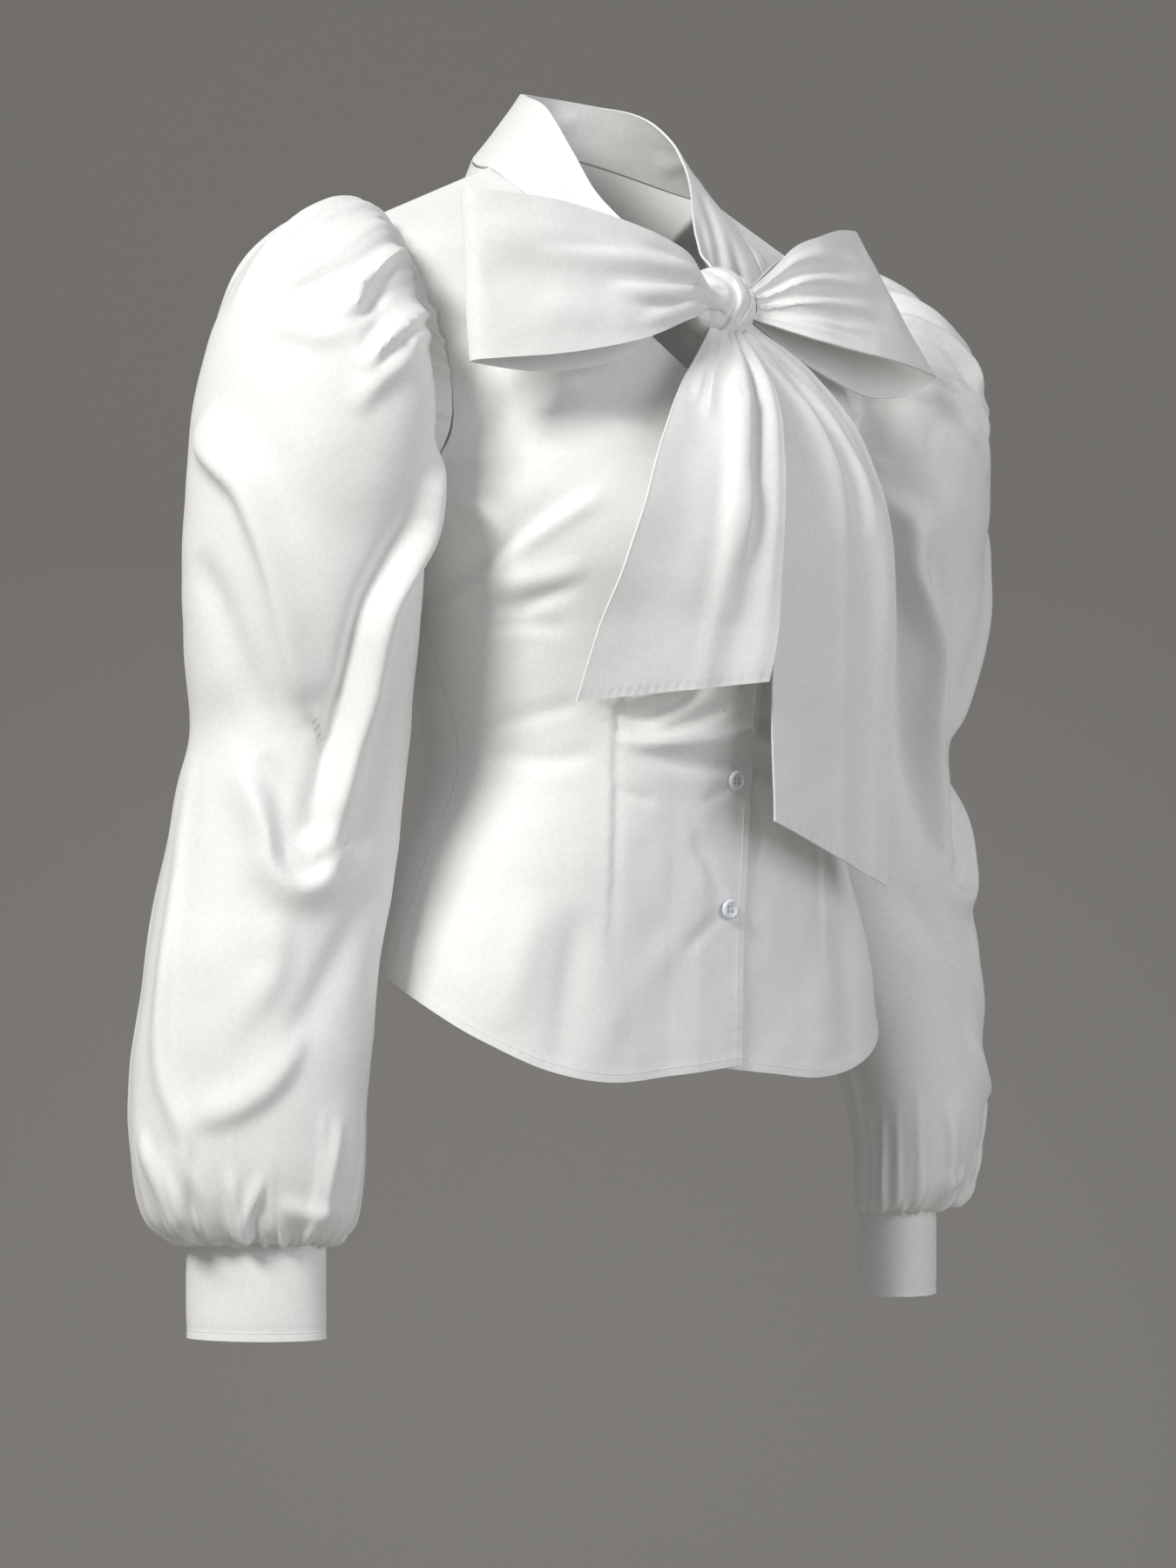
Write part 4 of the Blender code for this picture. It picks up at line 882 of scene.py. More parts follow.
# %% Folds of the sleeve, as angle round the arm and ring number
SLEEVE_FOLDS = (
    # creases that run out from the gathers
    Fold(((58, 0.2), (52, 2.0), (54, 3.2), (63, 4.0), (75, 4.6)), 0.0036, 0.0045, 0.0075, 0.6, 0.0),
    Fold(((52, 0.2), (46, 2.0), (49, 3.2), (59, 3.9), (66, 4.2)), 0.0026, 0.0035, 0.0060, 0.6, 0.0),
    Fold(((42, 0.2), (36, 2.1), (37, 3.1), (38, 3.6), (37, 3.9), (44, 4.3)), 0.0058, 0.0032, 0.0075, 0.4, 0.0),
    Fold(((33, 2.6), (32, 3.4), (33, 4.0)), -0.0030, 0.0050, 0.0045, 0.2, 0.1),
    Fold(((33, 4.1), (45, 4.6), (57, 4.7), (71, 4.8)), 0.0026, 0.0070, 0.0110, 0.3, 0.0),
    Fold(((30, 0.3), (27, 1.7), (31, 2.9), (34, 3.3)), 0.0026, 0.0030, 0.0050, 0.6, 0.0),
    Fold(((14, 0.3), (13, 2.6), (18, 3.7), (22, 4.3), (23, 4.7)), 0.0048, 0.0030, 0.0085, 0.5, 0.0),
    Fold(((24, 3.4), (27, 4.0), (28, 4.5)), -0.0028, 0.0055, 0.0040, 0.2, 0.1),
    Fold(((6, 2.4), (11, 4.0), (17, 4.6), (24, 5.4)), 0.0036, 0.0065, 0.0095, 0.4, 0.0),
    Fold(((2, 0.4), (8, 2.9), (10, 3.6)), 0.0026, 0.0035, 0.0060, 0.6, 0.0),
    Fold(((90, 0.2), (88, 2.0), (90, 3.4), (96, 4.6)), 0.0030, 0.0050, 0.0080, 0.6, 0.0),
    Fold(((74, 0.2), (70, 1.8), (74, 3.0), (82, 3.8)), 0.0034, 0.0045, 0.0070, 0.6, 0.0),
    Fold(((108, 0.2), (112, 2.0), (118, 3.2), (128, 4.4)), 0.0034, 0.0070, 0.0050, 0.6, 0.0),
    Fold(((128, 0.2), (136, 2.1), (146, 3.3), (158, 4.2)), 0.0044, 0.0080, 0.0040, 0.5, 0.0),
    Fold(((146, 0.3), (156, 2.4), (166, 3.6), (172, 4.8)), 0.0036, 0.0075, 0.0040, 0.5, 0.0),
    Fold(((166, 0.4), (174, 2.8), (178, 4.0)), 0.0030, 0.0060, 0.0040, 0.5, 0.0),
    # the panel over the outside of the elbow, lapped over the cloth below it
    Fold(((106, 5.9), (96, 6.3), (82, 6.55), (68, 6.8), (60, 7.1), (52, 7.6), (45, 8.2), (36, 9.1), (31, 9.6)),
         0.0100, 0.0250, 0.0080, 0.0, 0.3),
    Fold(((84, 5.9), (62, 6.4), (48, 7.2), (36, 8.3), (26, 9.2), (22, 10.2)),
         -0.0050, 0.0170, 0.0170, 0.1, 0.4),
    Fold(((96, 7.6), (80, 8.2), (64, 9.0), (52, 10.0)), -0.0036, 0.0120, 0.0120, 0.1, 0.3),
    # the pouch at the front of the elbow
    Fold(((-40, 2.6), (-30, 4.7), (-27, 6.2), (-15, 7.4), (-4, 8.2), (4, 9.5), (8, 10.8), (10, 11.7)),
         0.0120, 0.0105, 0.0085, 0.2, 0.5),
    Fold(((-22, 5.8), (-8, 7.2), (4, 8.2), (14, 9.6), (18, 10.9), (20, 11.6)),
         -0.0055, 0.0110, 0.0090, 0.1, 0.3),
    Fold(((-42, 5.2), (-34, 7.2), (-22, 8.9), (-12, 10.4), (-6, 11.6)), -0.0048, 0.0110, 0.0120, 0.1, 0.2),
    Fold(((62, 10.5), (49, 11.05), (40, 11.5), (34, 11.95), (22, 12.15), (10, 12.1), (2, 11.8)),
         0.0072, 0.0045, 0.0140, 0.1, 0.3),
    Fold(((52, 10.4), (40, 10.9), (31, 11.35), (21, 11.55), (12, 11.4)), -0.0042, 0.0080, 0.0080, 0.1, 0.3),
    # the lower sleeve, smooth and wide
    Fold(((32, 12.4), (24, 12.7), (24, 13.0), (40, 13.6)), 0.0022, 0.0090, 0.0120, 0.2, 0.0),
    Fold(((2, 13.4), (14, 13.95), (30, 14.3), (56, 14.5)), 0.0042, 0.0075, 0.0150, 0.0, 0.1),
    Fold(((-32, 12.0), (-18, 12.4), (0, 13.2), (16, 13.8)), -0.0026, 0.0140, 0.0110, 0.1, 0.2),
    Fold(((96, 10.6), (88, 12.0), (82, 12.9), (77, 13.6), (68, 14.1), (58, 14.5), (54, 14.9), (62, 15.9)),
         0.0038, 0.0050, 0.0090, 0.1, 0.7),
    Fold(((-26, 14.4), (-22, 15.3), (-18, 16.1)), 0.0026, 0.0045, 0.0070, 0.1, 0.7),
    Fold(((88, 14.6), (73, 15.3), (66, 16.4)), 0.0036, 0.0040, 0.0070, 0.1, 0.9),
    Fold(((69, 15.0), (60, 15.8), (63, 16.6)), 0.0034, 0.0035, 0.0050, 0.1, 0.9),
    Fold(((51, 15.0), (45, 15.7), (45, 16.6)), 0.0036, 0.0035, 0.0055, 0.1, 0.9),
    Fold(((31, 15.1), (29, 15.9), (29, 16.6)), 0.0040, 0.0030, 0.0055, 0.1, 0.9),
    Fold(((15, 15.2), (24, 15.9), (26, 16.6)), 0.0032, 0.0030, 0.0050, 0.1, 0.9),
    Fold(((6, 15.6), (-10, 15.8), (-30, 15.7)), 0.0026, 0.0045, 0.0080, 0.2, 0.2),
    # the hidden back and inside of the arm, in the same manner
    Fold(((240, 5.0), (222, 6.6), (206, 8.0), (194, 9.6)), 0.0080, 0.0120, 0.0080, 0.1, 0.3),
    Fold(((150, 6.0), (166, 7.6), (182, 9.0), (196, 10.2)), 0.0080, 0.0090, 0.0130, 0.1, 0.3),
    Fold(((168, 7.0), (184, 8.4), (200, 9.4)), -0.0040, 0.0110, 0.0110, 0.1, 0.2),
    Fold(((214, 10.2), (196, 10.9), (176, 11.2), (154, 11.0)), 0.0052, 0.0130, 0.0050, 0.1, 0.1),
    Fold(((262, 8.6), (246, 9.4), (226, 9.8)), 0.0050, 0.0080, 0.0080, 0.1, 0.1),
    Fold(((130, 11.6), (138, 12.8), (132, 14.2), (126, 15.6)), 0.0036, 0.0080, 0.0060, 0.1, 0.7),
    Fold(((176, 12.0), (182, 13.2), (176, 14.6), (170, 16.2)), 0.0040, 0.0070, 0.0070, 0.1, 0.8),
    Fold(((218, 12.6), (214, 13.9), (208, 15.2), (210, 16.3)), 0.0036, 0.0070, 0.0060, 0.1, 0.8),
    Fold(((252, 13.0), (250, 14.4), (246, 16.2)), 0.0032, 0.0060, 0.0060, 0.1, 0.8),
)


def on_sleeve(line):
    """Points of the plain sleeve at angles and ring numbers."""
    return sleeve_points([place[0] for place in line], [place[1] for place in line])


# %% Short gathers along both seams
HEAD_GATHERS = (-28, -17, -8, 0, 7, 15, 22, 28, 34, 40, 46, 51, 57, 63, 69, 76, 83, 90, 97, 104, 111,
                117, 123, 130, 137, 143, 150, 158, 166, 175, 186, 198)
CUFF_GATHERS = (-84, -70, -57, -46, -37, -28, -12, -3, 5, 12, 20, 34, 40, 49, 56, 66, 73, 79, 86, 94, 102,
                111, 119, 128, 136, 145, 153, 161, 177, 186, 195, 204, 213, 223, 233, 242, 251, 261)


def short_gathers(angles, seam_ring, step, low, high):
    """A gather at each angle, uneven in reach and depth by where it stands in the list."""
    folds = []
    for k, angle in enumerate(angles):
        uneven = 0.5 + 0.5 * math.sin(2.4 * k + 0.7 * math.cos(1.9 * k))
        reach = step * (0.55 + 0.9 * uneven)
        lean = 2.5 * math.sin(1.7 * k)
        line = ((angle, seam_ring), (angle + 0.5 * lean, seam_ring + 0.5 * reach),
                (angle + lean, seam_ring + reach))
        depth = low + (high - low) * (0.5 + 0.5 * math.cos(3.1 * k))
        folds.append(Fold(line, depth, 0.0016 + 0.0007 * uneven, 0.0022 + 0.0010 * uneven, 0.75, 0.0))
    return tuple(folds)


GATHER_FOLDS = (short_gathers(HEAD_GATHERS, 0.02, 1.9, 0.0010, 0.0024)
                + short_gathers(CUFF_GATHERS, 17.9, -2.6, 0.0012, 0.0026))
print("Folds on a sleeve:", len(SLEEVE_FOLDS) + len(GATHER_FOLDS))


# %% Make both sleeves
SLEEVE_DEPTH, SLEEVE_WIDTH = 1.30, 0.85
GATHER_DEPTH = 1.35


def sleeve_grid(seed):
    """One left sleeve with all its folds."""
    grid = press_folds(plain_sleeve, True, scaled(SLEEVE_FOLDS, SLEEVE_DEPTH, SLEEVE_WIDTH), on_sleeve)
    grid = press_folds(grid, True, scaled(GATHER_FOLDS, GATHER_DEPTH, 1.0), on_sleeve)
    hold = seam_hold(grid, True, ("low", "high"), 0.030)
    return unevenness(grid, True, 0.0013, 0.060, seed, hold)


sleeve_pieces = {}
for side, turned in (("left", False), ("right", True)):
    grid = sleeve_grid(7.0 if turned else 9.0)
    grid = mirrored(grid) if turned else grid
    probe = grid[SLEEVE_STATIONS // 2, SLEEVE_COLUMNS // 2] - grid[SLEEVE_STATIONS // 2].mean(axis=0)
    sleeve_pieces[side] = cloth_sheet("poplin_sleeve_" + side, grid, closed=True, outward=probe)
print("Sleeve faces:", len(sleeve_pieces["left"].data.polygons))

# %% [markdown]
# ## Cuffs
#
# A cuff is a doubled, stiffened strip, so it is thicker than the sleeve and nearly free of folds.
# It closes at the back of the wrist, where one end laps over the other under a button. Its two
# long edges are topstitched.

# %% Make both cuffs
CUFF_COLUMNS, CUFF_ROWS = 120, 30
CUFF_THICKNESS = 0.0014
CUFF_LAP_ANGLE, LAP_OVER = 160.0, 14.0
CUFF_LAP_STEP = 0.00055
PINCH_DEPTH, PINCH_ANGLE, PINCH_WIDTH, PINCH_HEIGHT = 0.0010, 62.0, 26.0, 0.22
CUFF_SWELL = 0.0007
CUFF_SEAMS, CUFF_SEAM_WIDTH, CUFF_SEAM_DEPTH = (0.10, 0.90), 0.05, 0.00030


def cuff_grid(seed):
    """A left cuff: a slightly bent oval tube with a lapped end."""
    angles = sleeve_angles(CUFF_COLUMNS)
    heights = np.linspace(CUFF_TOP_Z, CUFF_FOOT_Z, CUFF_ROWS)
    grid = np.array([sleeve_ring(cuff_ring(z), angles) for z in heights])
    normals = grid_normals(grid, True)
    centre = grid.mean(axis=(0, 1))
    if float(np.sum(normals[5, 5] * (grid[5, 5] - centre))) < 0.0:
        normals = -normals
    share = np.linspace(0.0, 1.0, CUFF_ROWS)[:, None]
    pinch = -PINCH_DEPTH * np.exp(-((share - 0.50) / PINCH_HEIGHT) ** 2)
    pinch = pinch * np.exp(-(((angles - PINCH_ANGLE) / PINCH_WIDTH) ** 2))[None, :]
    swell = CUFF_SWELL * np.sin(np.radians(3.0 * angles + 40.0 * seed))[None, :] * np.sin(math.pi * share)
    low_edge, high_edge = ((share - place) / CUFF_SEAM_WIDTH for place in CUFF_SEAMS)
    edge = CUFF_SEAM_DEPTH * (np.exp(-low_edge ** 2) + np.exp(-high_edge ** 2))
    past_lap = angles - CUFF_LAP_ANGLE - LAP_OVER
    lap = CUFF_LAP_STEP * (1.0 / (1.0 + np.exp(-past_lap / 0.8)))
    lap = lap * np.exp(-np.clip(past_lap, 0.0, None) / 30.0)
    return grid + (pinch + swell - edge + lap[None, :])[:, :, None] * normals


cuff_pieces = {}
for side, turned in (("left", False), ("right", True)):
    grid = cuff_grid(1.0 if turned else 2.0)
    grid = mirrored(grid) if turned else grid
    probe = grid[CUFF_ROWS // 2, CUFF_COLUMNS // 2] - grid[CUFF_ROWS // 2].mean(axis=0)
    cuff_pieces[side] = cloth_sheet("poplin_cuff_" + side, grid, closed=True,
                                    thickness=CUFF_THICKNESS, outward=probe)
print("Cuff height:", round(CUFF_TOP_Z - CUFF_FOOT_Z, 4))

# %% [markdown]
# ## Collar band, loops, tails and knot
#
# The collar is the middle of one long doubled tie. It stands round the neck, comes down both
# sides of the V and turns into the bow. Each part is a ribbon between two edges. The folds come
# from the knot, which squeezes the full width of the tie into two centimetres: strong there, and
# gone where the loop turns.

# %% Sizes of the tie
KNOT_CENTRE = (-0.004, -0.108, -0.088)
KNOT_SIZE = (0.0225, 0.0175, 0.0205)
KNOT_LEAN = math.radians(35.0)
KNOT_GROOVE, KNOT_FOLDS, KNOT_GROOVE_SHIFT = 0.07, 9.0, 0.6
KNOT_SEAT = 0.0007
COLLAR_LEAN_IN = 2.5

CollarSection = namedtuple("CollarSection", "seam foot top")
COLLAR = (
    CollarSection(None, (-0.0290, -0.1120, -0.0960), (-0.0285, -0.1085, -0.0800)),
    CollarSection(None, (-0.0400, -0.1045, -0.0960), (-0.0360, -0.0960, -0.0640)),
    CollarSection(0.10, None, (-0.0460, -0.0770, -0.0420)),
    CollarSection(0.40, None, (-0.0500, -0.0550, -0.0210)),
    CollarSection(0.70, None, (-0.0490, -0.0330, 0.0050)),
    CollarSection(1.00, None, (-0.0470, -0.0080, 0.0330)),
    CollarSection(1.30, None, (-0.0440, 0.0140, 0.0440)),
    CollarSection(1.65, None, (-0.0290, 0.0370, 0.0510)),
    CollarSection(2.00, None, (0.0000, 0.0470, 0.0540)),
    CollarSection(2.35, None, (0.0290, 0.0370, 0.0510)),
    CollarSection(2.70, None, (0.0440, 0.0140, 0.0430)),
    CollarSection(3.00, None, (0.0490, -0.0080, 0.0250)),
    CollarSection(3.30, None, (0.0430, -0.0300, -0.0010)),
    CollarSection(3.60, None, (0.0260, -0.0520, -0.0250)),
    CollarSection(3.85, None, (0.0120, -0.0740, -0.0500)),
    CollarSection(None, (0.0330, -0.1010, -0.0820), (0.0060, -0.0900, -0.0610)),
    CollarSection(None, (0.0150, -0.1000, -0.0680), (0.0010, -0.0990, -0.0670)),
)
LoopSection = namedtuple("LoopSection", "top foot pleat")
RIGHT_LOOP = (
    LoopSection((-0.0280, -0.1230, -0.0760), (-0.0300, -0.1230, -0.0960), 0.0010),
    LoopSection((-0.0520, -0.1330, -0.0640), (-0.0530, -0.1370, -0.1040), 0.0020),
    LoopSection((-0.0900, -0.1340, -0.0540), (-0.0880, -0.1400, -0.1180), 0.0006),
    LoopSection((-0.1350, -0.1250, -0.0450), (-0.1300, -0.1290, -0.1280), 0.0),
    LoopSection((-0.1710, -0.1110, -0.0415), (-0.1660, -0.1140, -0.1325), 0.0),
    LoopSection((-0.1810, -0.1020, -0.0410), (-0.1760, -0.1040, -0.1335), 0.0),
    LoopSection((-0.1740, -0.0940, -0.0410), (-0.1690, -0.0960, -0.1340), 0.0),
    LoopSection((-0.1350, -0.0960, -0.0440), (-0.1300, -0.1060, -0.1360), 0.0006),
    LoopSection((-0.0900, -0.1020, -0.0540), (-0.0880, -0.1170, -0.1280), 0.0010),
    LoopSection((-0.0540, -0.1080, -0.0660), (-0.0540, -0.1150, -0.1080), 0.0012),
    LoopSection((-0.0290, -0.1130, -0.0780), (-0.0300, -0.1160, -0.0960), 0.0006),
)
LEFT_LOOP = (
    LoopSection((0.0185, -0.1230, -0.0740), (0.0195, -0.1240, -0.0980), 0.0012),
    LoopSection((0.0390, -0.1240, -0.0530), (0.0480, -0.1370, -0.1060), 0.0022),
    LoopSection((0.0640, -0.1190, -0.0430), (0.0860, -0.1360, -0.1100), 0.0008),
    LoopSection((0.0900, -0.1080, -0.0350), (0.1300, -0.1250, -0.1120), 0.0),
    LoopSection((0.1135, -0.0960, -0.0315), (0.1680, -0.1070, -0.1130), 0.0),
    LoopSection((0.1200, -0.0890, -0.0310), (0.1750, -0.0970, -0.1150), 0.0),
    LoopSection((0.1150, -0.0850, -0.0320), (0.1660, -0.0890, -0.1230), 0.0),
    LoopSection((0.0920, -0.0880, -0.0380), (0.1280, -0.0960, -0.1280), 0.0008),
    LoopSection((0.0680, -0.0950, -0.0480), (0.0860, -0.1100, -0.1240), 0.0012),
    LoopSection((0.0440, -0.1020, -0.0590), (0.0490, -0.1140, -0.1130), 0.0012),
    LoopSection((0.0200, -0.1100, -0.0760), (0.0205, -0.1150, -0.0980), 0.0006),
)
TailSection = namedtuple("TailSection", "right left pleat")
UPPER_TAIL = (
    TailSection((-0.0240, -0.1210, -0.1090), (0.0060, -0.1260, -0.1130), 0.0030),
    TailSection((-0.0560, -0.1360, -0.1400), (0.0030, -0.1500, -0.1420), 0.0065),
    TailSection((-0.0830, -0.1500, -0.1750), (-0.0040, -0.1640, -0.1760), 0.0070),
    TailSection((-0.0990, -0.1560, -0.2080), (-0.0090, -0.1700, -0.2090), 0.0060),
    TailSection((-0.1110, -0.1530, -0.2430), (-0.0120, -0.1710, -0.2430), 0.0045),
    TailSection((-0.1220, -0.1430, -0.2800), (-0.0130, -0.1690, -0.2760), 0.0030),
    TailSection((-0.1310, -0.1350, -0.3190), (-0.0170, -0.1660, -0.3050), 0.0020),
)
UNDER_TAIL = (
    TailSection((-0.0080, -0.1160, -0.1120), (0.0180, -0.1180, -0.1010), 0.0020),
    TailSection((-0.0080, -0.1330, -0.1450), (0.0560, -0.1230, -0.1230), 0.0040),
    TailSection((-0.0080, -0.1520, -0.1800), (0.0850, -0.1330, -0.1600), 0.0040),
    TailSection((-0.0080, -0.1610, -0.2300), (0.0980, -0.1440, -0.2150), 0.0030),
    TailSection((-0.0070, -0.1580, -0.2850), (0.1040, -0.1400, -0.2800), 0.0025),
    TailSection((-0.0040, -0.1540, -0.3350), (0.1080, -0.1330, -0.3450), 0.0018),
    TailSection((0.0020, -0.1500, -0.3820), (0.1120, -0.1260, -0.4170), 0.0012),
)


# %% A ribbon between two edges
def resample(sections, count):
    """Points along a smooth curve through the sections' points, evenly in their order."""
    numbers = np.arange(len(sections), dtype=float)
    return smooth_column(numbers, np.array(sections, float), np.linspace(0.0, numbers[-1], count))


def ribbon(first_edge, second_edge, along, across):
    """A plain strip between two edges."""
    first = resample(first_edge, along)
    second = resample(second_edge, along)
    share = np.linspace(0.0, 1.0, across)
    return first[:, None, :] + share[None, :, None] * (second - first)[:, None, :]


def pleated(grid, pleats, waves, bias=0.0):
    """A strip with pleats that run along it; waves are (where, half width, height) across it."""
    height = resample([[value] * 3 for value in pleats], len(grid))[:, 0]
    share = np.linspace(0.0, 1.0, grid.shape[1])
    shape = np.zeros_like(share)
    for where, half_width, lift in waves:
        shape = shape + lift * np.exp(-((share - where) / half_width) ** 2)
    shape = (shape + bias) * np.sin(math.pi * share) ** 0.25
    normals = grid_normals(grid, False)
    return grid + (height[:, None] * shape[None, :])[:, :, None] * normals


def on_strip(grid):
    """Turns places along and across a strip into points in space."""
    rows, columns = grid.shape[:2]

    def place(line):
        """Points of the strip at shares along and across it."""
        found = []
        for along, across in line:
            r, c = along * (rows - 1), across * (columns - 1)
            i, j = min(int(r), rows - 2), min(int(c), columns - 2)
            s, t = r - i, c - j
            found.append((1 - s) * ((1 - t) * grid[i, j] + t * grid[i, j + 1])
                         + s * ((1 - t) * grid[i + 1, j] + t * grid[i + 1, j + 1]))
        return np.array(found)
    return place


# %% The knot's surface, and ends that sit on it
def knot_point(unit):
    """The point of the knot's surface in a direction, given on a sphere of size one."""
    lean = np.array([math.cos(KNOT_LEAN), 0.0, math.sin(KNOT_LEAN)])
    groove = KNOT_GROOVE * math.cos(KNOT_FOLDS * float(unit @ lean) + KNOT_GROOVE_SHIFT)
    groove *= 0.5 * (1.0 - unit[1])
    return unit * (1.0 + groove) * np.array(KNOT_SIZE) + np.array(KNOT_CENTRE)


def seat_on_knot(row):
    """The end of a strip, brought to the knot that holds it."""
    centre = np.array(KNOT_CENTRE)
    ends = []
    for point in row:
        direction = (point - centre) / np.array(KNOT_SIZE)
        surface = knot_point(direction / np.linalg.norm(direction))
        out = (surface - centre) / np.linalg.norm(surface - centre)
        ends.append(surface + KNOT_SEAT * out)
    return np.array(ends)


def ease_to_knot(grid, end, reach=5):
    """The last rows of a strip, eased over to an end row that sits on the knot."""
    out = grid.copy()
    seated = seat_on_knot(grid[end])
    shift = seated - grid[end]
    for k in range(reach):
        row = k if end == 0 else -1 - k
        out[row] = out[row] + shift * (1.0 - k / reach) ** 2
    return out


# %% Make the collar band
COLLAR_ROWS, COLLAR_ACROSS = 150, 30
BAND_THICKNESS = 0.0013
BAND_SEAT = 0.0009


def neck_seam(place):
    """A point of the neck seam: 0 right collar corner, 1 side neck, 2 centre back, 4 left corner."""
    side = -1.0 if place < 2.0 else 1.0
    from_corner = place if place < 2.0 else 4.0 - place
    if from_corner < 1.0:
        z = COLLAR_CORNER[1] + from_corner * (SIDE_NECK[2] - COLLAR_CORNER[1])
        step = np.clip((z - YOKE_Z) / (SIDE_NECK[2] - YOKE_Z), 0.0, 1.0)
        x = neckline_x(z)
        on_body = float(front_y(neckline_x(min(z, YOKE_Z)), min(z, YOKE_Z)))
        y = on_body + (SIDE_NECK[1] - on_body) * step - YOKE_CROWN * math.sin(math.pi * step)
        return np.array([side * x, y, z])
    share = (2.0 - from_corner) * SIDE_NECK[0]
    point = back_top(np.array([[share, 0.0, 0.0], [SHOULDER_TIP[0], 0.0, 0.0]]))[0]
    point[0] *= side
    return point


def band_foot(place, top):
    """Where the band is sewn on at one place of the neck seam, just above it."""
    seam = neck_seam(place)
    away = np.array(top) - seam
    away /= np.linalg.norm(away)
    near_corner = max(0.0, abs(place - 2.0) - 1.0)
    away[0] -= math.copysign(COLLAR_LEAN_IN, seam[0]) * near_corner
    return seam + BAND_SEAT * (1.0 + 0.7 * near_corner) * away / np.linalg.norm(away)


def collar_feet(tops):
    """The band's lower edge, which follows the neck seam closely between its corners."""
    sewn = [(k, section.seam) for k, section in enumerate(COLLAR) if section.seam is not None]
    feet = resample([band_foot(section.seam, section.top) if section.seam is not None else section.foot
                     for section in COLLAR], len(tops))
    numbers = np.linspace(0.0, len(COLLAR) - 1.0, len(tops))
    for row, number in enumerate(numbers):
        if sewn[0][0] <= number <= sewn[-1][0]:
            place = float(np.interp(number, [k for k, _ in sewn], [seam for _, seam in sewn]))
            feet[row] = band_foot(place, tops[row])
    return feet


COLLAR_FOLDS = (
    Fold(((0.02, 0.55), (0.10, 0.62), (0.18, 0.70)), 0.0016, 0.003, 0.006, 0.8, 0.0),
    Fold(((0.02, 0.30), (0.09, 0.30), (0.16, 0.24)), 0.0014, 0.003, 0.006, 0.8, 0.0),
    Fold(((0.16, 0.85), (0.24, 0.60), (0.32, 0.45)), 0.0010, 0.006, 0.008, 0.1, 0.0),
    Fold(((0.48, 0.30), (0.52, 0.55), (0.53, 0.85)), 0.0010, 0.005, 0.006, 0.1, 0.0),
    Fold(((0.62, 0.20), (0.66, 0.50), (0.72, 0.75)), 0.0012, 0.005, 0.007, 0.1, 0.0),
    Fold(((0.74, 0.75), (0.84, 0.62), (0.98, 0.45)), 0.0026, 0.003, 0.007, 0.0, 0.6),
    Fold(((0.80, 0.90), (0.90, 0.80), (0.98, 0.70)), 0.0020, 0.0025, 0.005, 0.0, 0.6),
    Fold(((0.78, 0.40), (0.88, 0.30), (0.98, 0.25)), 0.0020, 0.003, 0.006, 0.0, 0.6),
)
collar_tops = resample([section.top for section in COLLAR], COLLAR_ROWS)
collar_share = np.linspace(0.0, 1.0, COLLAR_ACROSS)[None, :, None]
collar_feet_row = collar_feet(collar_tops)[:, None, :]
collar_grid = collar_feet_row + collar_share * (collar_tops[:, None, :] - collar_feet_row)
collar_grid = press_folds(collar_grid, False, COLLAR_FOLDS, on_strip(collar_grid))
collar_hold = np.linspace(0.0, 1.0, COLLAR_ACROSS)[None, :] ** 0.6 * np.ones((COLLAR_ROWS, 1))
collar_grid = unevenness(collar_grid, False, 0.0008, 0.030, 11.0, collar_hold)
collar_grid = ease_to_knot(ease_to_knot(collar_grid, 0), -1)
collar = cloth_sheet("poplin_collar_band", collar_grid, thickness=BAND_THICKNESS)
print("Collar rows:", len(collar_grid))

# %% Make the two loops
LOOP_ALONG, LOOP_ACROSS = 150, 64
RIGHT_WAVES = ((0.16, 0.055, 1.0), (0.30, 0.05, -0.9), (0.46, 0.07, 0.8), (0.60, 0.045, -1.1),
               (0.72, 0.05, 0.9), (0.86, 0.05, -0.8))
LEFT_WAVES = ((0.14, 0.05, 0.8), (0.26, 0.04, -1.0), (0.37, 0.05, 1.0), (0.49, 0.04, -1.1),
              (0.60, 0.055, 1.0), (0.72, 0.045, -1.0), (0.86, 0.05, 0.7))
RIGHT_LOOP_FOLDS = (
    Fold(((0.02, 0.55), (0.09, 0.62), (0.17, 0.60), (0.24, 0.55)), 0.0034, 0.0022, 0.0055, 0.8, 0.0),
    Fold(((0.02, 0.30), (0.10, 0.28), (0.22, 0.32), (0.34, 0.36)), 0.0030, 0.0035, 0.0085, 0.8, 0.0),
    Fold(((0.03, 0.78), (0.10, 0.82), (0.20, 0.84)), 0.0024, 0.0030, 0.0060, 0.8, 0.0),
    Fold(((0.14, 0.72), (0.24, 0.74), (0.36, 0.70)), 0.0016, 0.0080, 0.0100, 0.1, 0.0),
    Fold(((0.24, 0.20), (0.34, 0.24), (0.43, 0.22)), 0.0014, 0.0080, 0.0120, 0.1, 0.0),
    Fold(((0.30, 0.50), (0.38, 0.52), (0.44, 0.55)), -0.0012, 0.0120, 0.0120, 0.1, 0.0),
    Fold(((0.56, 0.40), (0.68, 0.42), (0.82, 0.46), (0.97, 0.50)), 0.0022, 0.0070, 0.0090, 0.0, 0.6),
)
